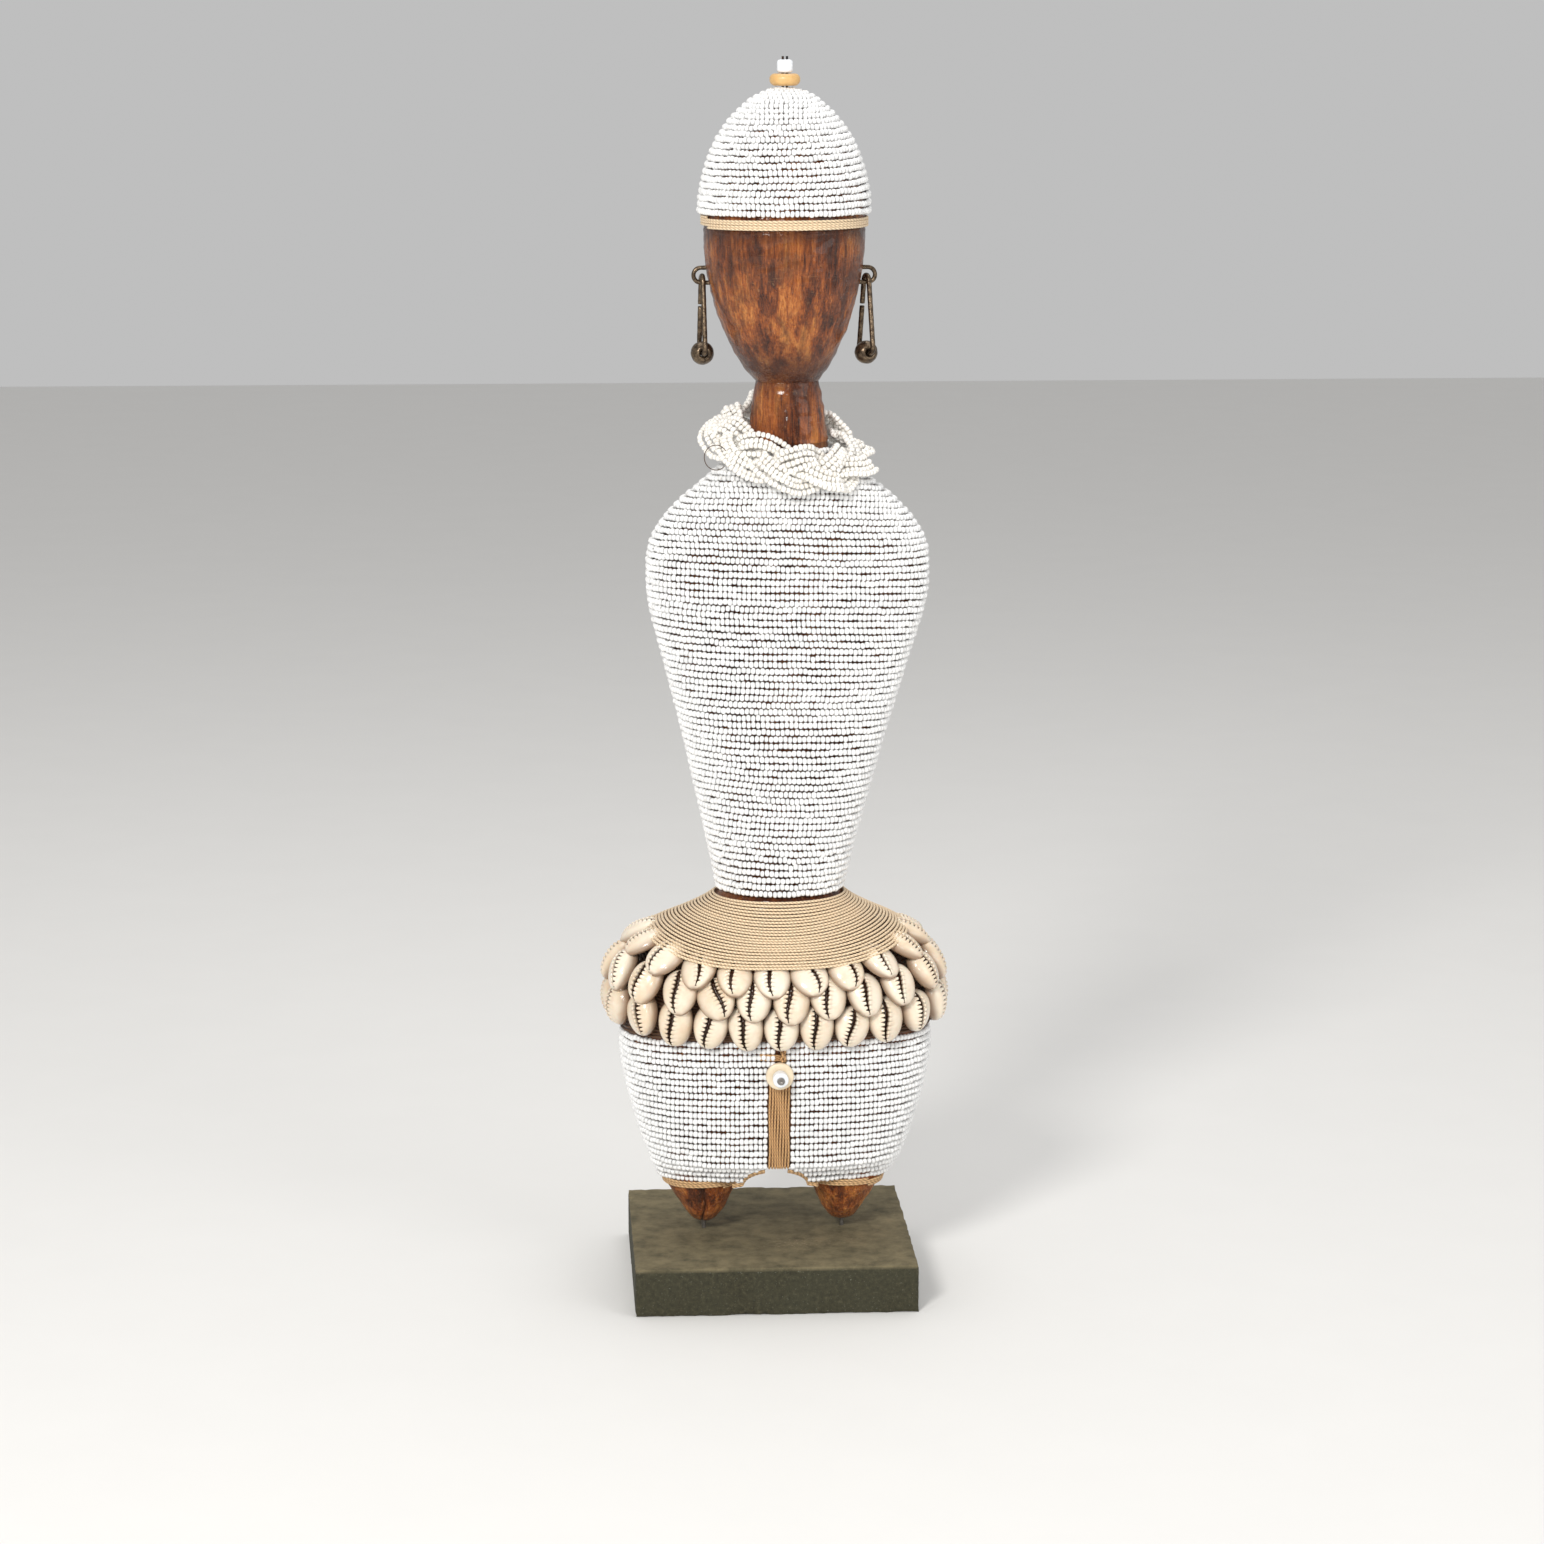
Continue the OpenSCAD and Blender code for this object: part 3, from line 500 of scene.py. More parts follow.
class Form:
    """A smooth skin through rows. A point on it is set by s, the distance up from its first row,
    and the angle a round it (-90 degrees is the front)."""

    FINE = 400

    def __init__(self, rows, front_share=0.5, shift=0.0):
        rows = np.array(rows, float)
        at = np.linspace(0, len(rows) - 1, self.FINE)
        self.columns = np.stack([catmull(rows[:, c], at) for c in range(6)])
        self.columns[5] += shift
        side = np.hypot(np.diff(self.columns[0]), np.diff(self.columns[1]))
        front = np.hypot(np.diff(self.columns[2]), np.diff(self.columns[3]))
        step = (1 - front_share) * side + front_share * front
        self.travel = np.concatenate([[0], np.cumsum(step)])
        self.length = self.travel[-1]
        lean_side = np.arctan2(-np.gradient(self.columns[1]), np.gradient(self.columns[0]))
        lean_front = np.arctan2(-np.gradient(self.columns[3]), np.gradient(self.columns[2]))
        self.leans = np.stack([lean_side, lean_front])

    def read(self, s):
        s = np.clip(s, 0, self.length)
        return [np.interp(s, self.travel, c) for c in (*self.columns, *self.leans)]

    def at_height(self, z):
        return np.interp(z, self.columns[0], self.travel)

    def point(self, s, a):
        side_z, width, front_z, depth, square, middle, _, _ = self.read(s)
        x, y = oval(a, width, depth, square)
        return np.stack([middle + x, y, by_angle(a, side_z, front_z)], -1)

    def normal(self, s, a):
        _, width, _, depth, square, _, lean_side, lean_front = self.read(s)
        c, d = np.cos(a), np.sin(a)
        power = 2 - 2 / square
        flat = unit(np.stack([np.sign(c) * np.abs(c) ** power / width,
                              np.sign(d) * np.abs(d) ** power / depth], -1))
        lean = by_angle(a, lean_side, lean_front)
        return np.concatenate([flat * np.cos(lean)[..., None], np.sin(lean)[..., None]], -1)


def spread(points, normals, step, closed):
    """Points at an even step along a path, with the path's direction and the skin's normal."""
    if closed:
        points = np.vstack([points, points[:1]])
        normals = np.vstack([normals, normals[:1]])
    run = travelled(points)
    count = max(2, int(round(run[-1] / step)))
    at = (np.arange(count) + (0 if closed else 0.5)) * run[-1] / count
    near = step * 0.3
    ahead = at_distance(np.minimum(at + near, run[-1]), run, points)
    behind = at_distance(np.maximum(at - near, 0), run, points)
    return at_distance(at, run, points), unit(ahead - behind), unit(at_distance(at, run, normals))


# ---------------------------------------------------------------- seed beads


def bead_template(around):
    """One seed bead along X, unit radius and unit length: rounded ends and a hole."""
    profile = np.array([(-0.42, 0.26), (-0.50, 0.44), (-0.46, 0.66), (-0.30, 0.89),
                        (0, 1.0), (0.30, 0.89), (0.46, 0.66), (0.50, 0.44), (0.42, 0.26)])
    verts = np.array([(x, r * np.cos(a), r * np.sin(a)) for x, r in profile for a in ring_angles(around)[0]])
    return verts, grid_faces(len(profile), around, joined=True)


class BeadRun:
    """Gathers beads and turns them into one mesh."""

    def __init__(self):
        self.verts, self.faces = bead_template(9)
        self.centres, self.alongs, self.outs, self.lengths, self.radii = [], [], [], [], []

    def add(self, centre, along, out, length, radius):
        self.centres.append(centre)
        self.alongs.append(along)
        self.outs.append(out)
        self.lengths.append(np.full(len(centre), length))
        self.radii.append(np.full(len(centre), radius))

    def build(self, name, material, body, nodes, slot):
        centre, along, out = (np.concatenate(v) for v in (self.centres, self.alongs, self.outs))
        number = len(centre)
        along = unit(along + rng.normal(0, 0.055, (number, 3)))
        out = unit(out - (out * along).sum(1, keepdims=True) * along)
        across = np.cross(out, along)
        length = np.concatenate(self.lengths) * rng.normal(0.96, 0.045, number).clip(0.84, 1.05)
        radius = np.concatenate(self.radii) * rng.normal(1, 0.04, number).clip(0.88, 1.08)
        centre = centre + out * rng.normal(0, 0.09, number)[:, None]
        centre = centre + across * rng.normal(0, 0.1, number)[:, None]
        spin = rng.uniform(0, 2 * np.pi, number)
        side = np.cos(spin)[:, None] * across + np.sin(spin)[:, None] * out
        up = np.cross(along, side)
        axes = np.stack([along * length[:, None], side * radius[:, None], up * radius[:, None]], 1)
        verts = centre[:, None] + self.verts @ axes
        size = len(self.verts)
        faces = self.faces[None] + (np.arange(number) * size)[:, None, None]
        tone = np.repeat(rng.beta(4, 1.6, number), size)
        new_piece(name, verts.reshape(-1, 3), faces.reshape(-1, 4), material, body, nodes, slot, tone)


def row_beads(run, form, s, start, sweep, keep=None, drift=None, radius=BEAD_R):
    """Lays one row of beads at s up a form. drift moves it up or down with angle, and keep says
    which stretch of an open row has beads."""
    a = np.radians(start + sweep * np.linspace(0, 1, 900))
    place = s + (drift(a) if drift else 0) + ripple(a)
    normal = form.normal(place, a)
    points = form.point(place, a) - BEAD_R * normal
    if keep is not None:
        kept = keep(points)
        points, normal = points[kept], normal[kept]
    if len(points) < 6:
        return
    run.add(*spread(points, normal, BEAD_LEN, closed=keep is None), BEAD_LEN, radius)


def waves(size, count=4):
    """A slow random wave round a row, so that rows aren't perfectly even."""
    turns = np.arange(1, count + 1)
    strength = rng.normal(0, size, count) / turns ** 0.5
    phase = rng.uniform(0, 2 * np.pi, count)
    return lambda a: sum(g * np.sin(t * a + p) for g, t, p in zip(strength, turns, phase))


def between(first, second, share, strength=1):
    """One wave turning into another."""
    return lambda a: strength * ((1 - share) * first(a) + share * second(a))


def ripple(a):
    """The short random waves of a hand-wound row, about 0.15 mm high."""
    return sum(rng.normal(0, 0.075) * np.sin(turns * a + rng.uniform(0, 2 * np.pi))
               for turns in (9, 14, 21, 33))


def fade(s, length, reach):
    """1 in the middle of a form, falling to 0 over reach at both ends."""
    return float(np.clip(min(s, length - s) / reach, 0, 1))


def slanted(form, s, slope, wave):
    """Row drift that falls to the right by slope, less towards the ends of the form."""
    amount = fade(s, form.length, 14)
    width = np.interp(s, form.travel, form.columns[1])
    return lambda a: amount * (slope * (width * np.cos(a)) + wave(a))


def even_rows(length):
    """How many rows fit a length, after the first, and their exact pitch."""
    rows = int(round(length / ROW_PITCH))
    return rows, length / rows


def wind_torso():
    form = Form(TORSO_ROWS, front_share=0.62)
    rows, pitch = even_rows(form.length - 2 * BEAD_R)
    per_piece, per_wave = 9, 5
    wave = waves(0.25)
    for first in range(0, rows + 1, per_piece):
        run = BeadRun()
        for i in range(first, min(first + per_piece, rows + 1)):
            if i % per_wave == 0:
                next_wave = waves(0.28)
            blend = between(wave, next_wave, i % per_wave / per_wave)
            if i % per_wave == per_wave - 1:
                wave = next_wave
            s = BEAD_R + i * pitch
            row_beads(run, form, s, rng.uniform(0, 360), 360, drift=slanted(form, s, -0.035, blend))
        run.build(f"torso_beads_{first // per_piece + 1}", SEED_BEADS, "root",
                  ["torso_bead_winding"], "seed_beads")


def wind_cap():
    form = Form(CAP_ROWS)
    rows, pitch = even_rows(form.length - 2 * BEAD_R)
    low_wave, high_wave = waves(0.3), waves(0.3)
    for number, part in enumerate((range(0, 9), range(9, rows + 1)), 1):
        run = BeadRun()
        for i in part:
            s = BEAD_R + i * pitch
            wave = between(low_wave, high_wave, i / rows)
            row_beads(run, form, s, rng.uniform(0, 360), 360, drift=slanted(form, s, 0.03, wave))
        run.build(f"cap_beads_{number}", SEED_BEADS, "root", ["cap_bead_winding"], "seed_beads")


def arch_reach(z):
    """Half-width of the bare arch between the legs at a height."""
    rise = (z - ARCH_LOW) / (ARCH_TOP - ARCH_LOW)
    return ARCH_HALF * math.sqrt(max(0.0, 1 - rise * rise)) if rise < 1 else 0.0


def wind_hips():
    """Rows over the hips, open at the front and back, and three rows down to the legs and the arch."""
    hips, legs = Form(HIP_ROWS), Form(LEGS_ROWS)
    low = ARCH_TOP + 1.6
    rows, pitch = even_rows(HIP_ROWS[-1][0] + 1.2 - BEAD_R - low)
    for side, name in SIDES:
        runs = [BeadRun(), BeadRun()]
        wave, later = waves(0.22), waves(0.22)
        for i in range(rows + 1):
            z = low + i * pitch
            gap = STRIP_HALF if z < STRIP_TOP + 1 else 1.2 + 1.2 * (side > 0)
            row_beads(runs[2 * i > rows], hips, hips.at_height(z), -90, 180 * side,
                      keep=lambda p, g=gap: side * p[:, 0] > g + BEAD_LEN * 0.1,
                      drift=between(wave, later, i / rows, fade(i, rows, 3)), radius=HIP_BEAD_R)
        for i in range(1, 4):
            z = low - i * ROW_PITCH
            reach = max(arch_reach(z), STRIP_HALF)
            row_beads(runs[0], legs, legs.at_height(z), -90, 180 * side,
                      keep=lambda p, r=reach: side * (p[:, 0] - FEET_X) > r + 0.1, radius=HIP_BEAD_R)
        for number, run in enumerate(runs, 1):
            run.build(f"hip_beads_{name}_{number}", SEED_BEADS, "root",
                      [f"hip_bead_winding_{name}"], "seed_beads")


# ---------------------------------------------------------------- cord


def sweep(path, normal, outline):
    """Closed tube along a path; outline(run) gives the offsets of each ring's corners outward and
    across. Returns points, quads and end triangles."""
    along = unit(np.gradient(path, axis=0))
    across = unit(np.cross(along, normal))
    out = np.cross(across, along)
    offset_out, offset_across = outline(travelled(path))
    verts = path[:, None] + offset_out[..., None] * out[:, None] + offset_across[..., None] * across[:, None]
    size = offset_out.shape
    flat = np.vstack([verts.reshape(-1, 3), path[0], path[-1]])
    return flat, grid_faces(*size, flip=True), np.concatenate(end_fans(*size))


def ring_angles(sides):
    return np.linspace(0, 2 * np.pi, sides, endpoint=False)[None]


def cord_lay(run, sides, twist):
    """Where each corner of a two-ply cord's rings lies on the turning plies, as an angle."""
    return 2 * (ring_angles(sides) - 2 * np.pi * run[:, None] / twist)


def cord_outline(radius, sides, twist):
    """Section of a twisted cord: lobes that turn along it."""

    def outline(run):
        lobes = 0.89 + 0.11 * np.cos(cord_lay(run, sides, twist))
        reach = radius * lobes * (1 + 0.03 * np.sin(run * 1.7)[:, None])
        return reach * np.cos(ring_angles(sides)), reach * np.sin(ring_angles(sides))

    return outline


class TubeRun:
    """Gathers lengths of cord or wire into one mesh."""

    def __init__(self):
        self.verts, self.quads, self.ends, self.tones, self.size = [], [], [], [], 0

    def add(self, path, normal, outline):
        verts, quads, ends = sweep(path, normal, outline)
        self.verts.append(verts)
        self.quads.append(quads + self.size)
        self.ends.append(ends + self.size)
        self.size += len(verts)

    def add_cord(self, path, normal, radius, sides=8, twist=4.2):
        self.add(path, normal, cord_outline(radius, sides, twist))
        # painted shade: the tone falls in the hollows between the turning plies
        tone = 0.62 + 0.38 * np.cos(cord_lay(travelled(path), sides, twist))
        self.tones.append(np.append(tone.clip(0, 1).ravel(), [0.5, 0.5]))

    def build(self, name, material, nodes, slot, body="root"):
        faces = [np.concatenate(self.quads), np.concatenate(self.ends)]
        tones = np.concatenate(self.tones) if self.tones else None
        new_piece(name, np.concatenate(self.verts), faces, material, body, nodes, slot, tones)


def wind_cord(form, low, high, pitch, radius, step, inset, wobble, start):
    """One cord wound round a form from s = low to s = high, as a path and its normals."""
    turns = max(1, round((high - low) / pitch))
    per_turn = 200
    a = np.radians(start + 360 * np.linspace(0, turns, turns * per_turn + 1))
    s = np.linspace(low, high, len(a))
    s = s + wobble * np.sin(a * 0.37 + 1) * np.sin(a * 1.31)
    normal = form.normal(s, a)
    points = form.point(s, a) - (radius + inset) * normal
    centre, _, out = spread(points, normal, step, closed=False)
    return centre, out


def wind_layer(name, node, material, slot, rows, gaps, pitch, step, wobble, radius=CORD_R, inset=0.0,
               start=30, **cord):
    """One cord wound turn by turn over a form, with gaps left under and over it."""
    form, run = Form(rows), TubeRun()
    low, high = gaps[0], form.length - gaps[1]
    path, normal = wind_cord(form, low, high, pitch, radius, step, inset, wobble, start)
    run.add_cord(path, normal, radius, **cord)
    run.build(name, material, [node], slot)


def wind_cuffs():
    """Three or four turns round each ankle, then the tail follows the edge of the arch to the strip."""
    legs = Form(LEGS_ROWS)
    for side, name in SIDES:
        form = Form([[*r[:5], side * r[5]] for r in CUFF_ROWS], shift=FEET_X)
        run = TubeRun()
        path, normal = wind_cord(form, 0.5, form.length - 0.5, 1.15, CUFF_CORD_R, 0.9, 0.0, 0.1, -60)
        run.add_cord(path, normal, CUFF_CORD_R)
        for face in (-1, 1):
            for layer in range(2):
                z = np.linspace(ARCH_TOP - 0.5, ARCH_LOW + 0.6, 36)
                x = np.array([max(arch_reach(h), STRIP_HALF - 2) + 0.5 for h in z])
                x = side * np.append(x, x[-1] + np.linspace(0.8, 4.6, 8))
                z = np.append(z, z[-1] - np.linspace(0.3, 1.0, 8)) - 0.95 * layer
                s = legs.at_height(z)
                _, width, _, depth, square, _, _, _ = legs.read(s)
                y = face * (depth * (1 - (np.abs(x) / width) ** square) ** (1 / square) - 1.0)
                tail = np.stack([FEET_X + x, y, z], -1)
                run.add_cord(tail, legs.normal(s, np.full(len(z), face * np.pi / 2)), CUFF_CORD_R)
        run.build(f"leg_cuff_{name}_cord", CUFF_CORD, [f"leg_cuff_{name}"], "tan_cord")


def lay_strips():
    """Upright cords between the two halves of the hip beads, front and back."""
    hips = Form(HIP_ROWS)
    for face, name in ((-1, "front"), (1, "back")):
        run = TubeRun()
        for i, x in enumerate(np.linspace(0.6 - STRIP_HALF, STRIP_HALF - 0.6, STRIP_CORDS)):
            z = np.arange(ARCH_TOP - 0.6, STRIP_TOP + 1, 0.9)
            s = hips.at_height(z)
            a = np.full(len(z), face * np.pi / 2)
            normal = hips.normal(s, a)
            path = hips.point(s, a) - STRIP_DEPTH * normal
            path[:, 0] = x + 0.18 * np.sin(z * 0.21 + i)
            run.add_cord(path, normal, STRIP_CORD_R, twist=3.0)
        add_strip_top(run, hips, face)
        run.build(f"{name}_strip", STRIP_CORD, [f"{name}_cord_strip"], "strip_cord")


def add_strip_top(run, hips, face):
    """A short wrap across the top of the strip and a twisted pair going up to the shells."""
    for i in range(3):
        x = np.linspace(-5.2, 1.4, 16)
        z = STRIP_TOP + 4.4 + i * 1.0 - 0.1 * x
        a = face * np.pi / 2 - face * x / 70
        s = hips.at_height(z)
        normal = hips.normal(s, a)
        path = hips.point(s, a) - 1.2 * normal
        run.add_cord(path, normal, 0.5)
    for strand in range(2):
        z = np.linspace(STRIP_TOP + 4, HIP_ROWS[-1][0] + 3, 26)
        turn = z * 0.9 + strand * np.pi
        s = hips.at_height(z)
        a = np.full(len(z), face * np.pi / 2)
        path = hips.point(s, a)
        path[:, 0] = 1.6 + 0.75 * np.cos(turn)
        path[:, 1] += face * (0.3 + 0.75 * np.sin(turn))
        path[:, 2] = z
        run.add_cord(path, hips.normal(s, a), 0.62)


# ---------------------------------------------------------------- carved wood


def inset_profile(rows, depth):
    """Rows moved inward, square to the surface at the side and the front."""
    rows = np.array(rows, float)
    result = rows.copy()
    for radius, height in ((1, 0), (3, 2)):
        along = unit(np.stack([np.gradient(rows[:, radius]), np.gradient(rows[:, height])], -1))
        result[:, radius] -= depth * along[:, 1]
        result[:, height] += depth * along[:, 0]
    return result


def lathe(rows, steps, around, shift=0.0, smooth_rows=True):
    """Closed solid through rows, as points and faces."""
    rows = np.array(rows, float)
    at = np.linspace(0, len(rows) - 1, steps)
    if smooth_rows:
        columns = [catmull(rows[:, c], at) for c in range(6)]
    else:
        columns = [np.interp(at, np.arange(len(rows)), rows[:, c]) for c in range(6)]
    side_z, width, front_z, depth, square, middle = (c[:, None] for c in columns)
    a = ring_angles(around)
    x, y = oval(a, width, depth, square)
    verts = np.stack([middle + shift + x, y, by_angle(a, side_z, front_z)], -1).reshape(-1, 3)
    ends = [verts[:around].mean(0), verts[-around:].mean(0)]
    caps = np.concatenate([fan[:, [0, 2, 1]] for fan in end_fans(steps, around)])
    return np.vstack([verts, *ends]), grid_faces(steps, around), caps


def lumps(points, size, seed):
    """Smooth repeatable noise, about -1 to 1, at points in mm."""
    draw = np.random.default_rng(seed)
    total = np.zeros(len(points))
    for _ in range(14):
        wave = unit(draw.normal(size=3)) * 2 * np.pi / (size * draw.uniform(0.6, 1.6))
        total += np.sin(points @ wave + draw.uniform(0, 2 * np.pi))
    return total / 5


UNDER_BEADS = 3.2        # depth of the wood under the outside of the beads
BARE_LOW, BARE_HIGH = 376, 468       # heights between which the neck and face are bare
LEG_BARE_TOP, FOOT_SPLIT_TOP = 50, 46
FOOT_ASIDE = 31.5        # from the line between the feet to the middle of each


def carve_figure():
    """Feet, legs, hips, body, neck and head, with knife-cut unevenness and a crack in one foot."""
    body_rows = np.vstack([
        [[56.8, 52.5, 56.8, 26.4, 2.5, 0]],
        inset_profile(HIP_ROWS, UNDER_BEADS)[1:5],
        inset_profile(BED_ROWS, 1.7),
        inset_profile(SKIRT_ROWS, 1.8)[3:],
        inset_profile(TORSO_ROWS, UNDER_BEADS)])
    neck = np.array(NECK_ROWS, float)
    crown = np.vstack([inset_profile(BAND_ROWS, 1.6), inset_profile(CAP_ROWS, UNDER_BEADS)])
    parts = [lathe(body_rows, 260, 96, smooth_rows=False),
             lathe(np.vstack([body_rows[-1:], neck[:4]]), 60, 96),
             lathe(neck[3:], 110, 96, smooth_rows=False),
             lathe(np.vstack([neck[-1:], crown]), 60, 96, smooth_rows=False)]
    for side in (-1, 1):
        rows = [[*r[:5], side * r[5]] for r in LEG_WOOD_ROWS]
        parts.append(lathe(rows, 90, 150, shift=FEET_X))
    verts, quads, caps, size = [], [], [], 0
    for part_verts, part_quads, part_caps in parts:
        verts.append(part_verts)
        quads.append(part_quads + size)
        caps.append(part_caps + size)
        size += len(part_verts)
    verts = np.concatenate(verts)
    # The last argument is painted shade for the wood's tone: neck joint, under the cap, toes, head sides,
    # under the beads, split foot.
    new_piece("carved_wood_figure", rough_cut(verts), [np.concatenate(quads), np.concatenate(caps)], WOOD,
              "root", ["carved_figure"], "carved_wood", painted_wood_shade(verts))


def painted_wood_shade(verts):
    """How dark the painted shade is: in the neck joint, under the cap, at the toes, at the head's sides,
    under the beads and in the split foot."""
    z = verts[:, 2]
    shade = 0.7 * ((z > LEG_BARE_TOP) & (z < BARE_LOW)) + foot_split(verts)
    for strength, height, reach in ((0.95, 407, 10), (0.8, 467, 5), (0.5, 27, 2.5)):
        shade = shade + strength * np.exp(-((z - height) / reach) ** 2)
    side = (np.abs(verts[:, 0] - HEAD_X) / 34).clip(0, 1)
    return (shade + 0.35 * side ** 4 * (z > 400)).clip(0, 1)


def foot_split(verts):
    """1 on the split up the front of the left foot, falling to 0 beside it."""
    split_x = FEET_X - 31.4 + 0.5 * np.sin(verts[:, 2] * 0.4)
    return np.exp(-((verts[:, 0] - split_x) / 0.5) ** 2) * (verts[:, 1] < 0) * (verts[:, 2] < FOOT_SPLIT_TOP)


def rough_cut(verts):
    """Knife marks on the bare wood: shallow facets and dents, and a split in the left foot."""
    bare = ((verts[:, 2] > BARE_LOW) & (verts[:, 2] < BARE_HIGH)) | (verts[:, 2] < LEG_BARE_TOP)
    flat = verts * [1, 1, 0]
    foot = np.where(verts[:, :1] < FEET_X, FEET_X - FOOT_ASIDE, FEET_X + FOOT_ASIDE)
    middle = np.where(verts[:, 2:3] > BARE_LOW, HEAD_X, foot) * [1, 0, 0]
    out = unit(flat - middle + 1e-6)
    depth = 0.22 * lumps(verts, 9, 5) + 0.13 * lumps(verts, 3.6, 6)
    verts = verts + out * np.where(bare, depth, 0)[:, None]
    return verts + np.array([0, 1.1, 0]) * foot_split(verts)[:, None]


# ---------------------------------------------------------------- cowrie shells

SHELL_ROWS = {
    # height and half-width at the side, height and half-depth at the front, lean from upright
    # at the side and the front, place of the first shell, number of shells
    "lower": (129.8, 69.6, 123, 35.7, 6, 4, 0.04, 23),
    "middle": (145.4, 67.9, 136.3, 37.9, 32, 26.5, 0.29, 22),
    "upper": (159.4, 59.2, 147.2, 38.6, 52, 36.5, -0.21, 20)}
SHELL_SQUARE = 2.5
SHELL_LEN, SHELL_W, SHELL_BACK = 20, 15.9, 0.8
SHELL_HEIGHT = {"lower": 6.6, "middle": 6.1, "upper": 5.2}
# How far each row sinks and drops from its CAD place, and the extra lean of its tops
SHELL_SINK = {"lower": (0.2, -0.6, 0), "middle": (0.4, -1.2, 2), "upper": (3.3, -1.2, 13)}


def shell_template():
    """A cowrie of unit half-sizes lying along Z with its toothed slit towards +X: points, faces,
    how much painted shade each point has inside the slit, and how near the rim (for painted shade there)."""
    long = 76
    near = np.array([0, 0.022, 0.045, 0.07, 0.095, 0.12, 0.15, 0.18, 0.22, 0.27, 0.33, 0.4, 0.5, 0.61,
                     0.72, 0.82, 0.9, 0.955, 0.985, 1])
    q = np.concatenate([-near[:0:-1], near])[None]
    around = q.shape[1]
    v = np.sin(np.linspace(-np.pi / 2, np.pi / 2, long) * 0.999)[:, None]
    v = 0.35 * v + 0.65 * np.linspace(-1, 1, long)[:, None]
    bulge = np.sqrt((1 - np.abs(v) ** 2.1).clip(0, 1)) * (1 + 0.09 * v)
    line = -0.16 + 0.12 * v - 0.16 * v * v + 0.05 * np.sin(3.3 * v)
    y = bulge * (q + line * (1 - q * q))
    x = bulge * np.sqrt((1 - q * q).clip(0, 1)) ** 0.85
    z = v + 0 * q
    tooth = np.cos(v * np.pi * 10.5 + 2.5 * q)
    bite = np.maximum(tooth, 0) ** 1.5
    gape = 0.055 + 0.07 * (v + 1) / 2 + np.where(q < 0, 0.19, 0.07) * bite
    deep = np.exp(-(np.abs(q) / gape) ** 3.2) * (np.abs(v) < 0.93) * (1 - np.abs(v) ** 14)
    ridge = np.exp(-((np.abs(q) - 0.17) / 0.12) ** 2) * (1 - v ** 8)
    groove = bite * np.exp(-((np.abs(q) - 0.2) / 0.17) ** 2) * (1 - v ** 8)
    x = x * (1 - 0.42 * deep) + 0.07 * ridge - 0.075 * groove
    # painted shade: dark in the slit and in the grooves between the teeth
    slit = np.maximum(deep, 0.26 * groove)
    front = np.stack([x, y, z], -1).reshape(-1, 3)
    quads = grid_faces(long, around, around=False)
    back = front.reshape(long, around, 3)[:, [0, -1]] * [0, 0.92, 0.99] - [0.22, 0, 0]
    size = len(front)
    verts = np.vstack([front, back.reshape(-1, 3)])
    row = np.arange(long - 1)
    left, left_back = row * around, size + row * 2
    right, right_back = row * around + around - 1, size + row * 2 + 1
    walls = np.concatenate([
        np.stack([left, left + around, left_back + 2, left_back], -1),
        np.stack([right, right_back, right_back + 2, right + around], -1),
        np.stack([left_back, left_back + 2, right_back + 2, right_back], -1)])
    slit = np.concatenate([slit.ravel(), np.zeros(len(verts) - size)])
    # painted shade near the rim and on the back walls
    rim = np.concatenate([(np.maximum(np.abs(q), 0 * v + np.abs(v) ** 3) ** 9 + 0 * v).ravel(),
                          np.ones(len(verts) - size)])
    return verts, np.concatenate([quads, walls]), slit.clip(0, 1), rim.clip(0, 1)


def shell_row_places(row):
    """Where each shell of a row sits and how it is turned: evenly spaced round the ring."""
    side_z, width, front_z, depth, lean_side, lean_front, first, count = row
    a = np.radians(np.linspace(-90, 270, 721))
    ring = np.stack([*oval(a, width, depth, SHELL_SQUARE), by_angle(a, side_z, front_z)], -1)
    run = travelled(ring)
    for i in range(count):
        at = run[-1] * ((i + first) % count) / count
        ahead = at_distance(min(at + 1, run[-1]), run, ring)
        behind = at_distance(max(at - 1, 0), run, ring)
        lean = math.radians(by_angle(np.interp(at, run, a), lean_side, lean_front))
        facing = math.atan2(ahead[1] - behind[1], ahead[0] - behind[0]) - math.pi / 2
        yield at_distance(at, run, ring), facing, lean


def turn_matrix(axis, angle):
    c, s = math.cos(angle), math.sin(angle)
    if axis == "z":
        return np.array([[c, -s, 0], [s, c, 0], [0, 0, 1]])
    if axis == "y":
        return np.array([[c, 0, s], [0, 1, 0], [-s, 0, c]])
    return np.array([[1, 0, 0], [0, c, -s], [0, s, c]])


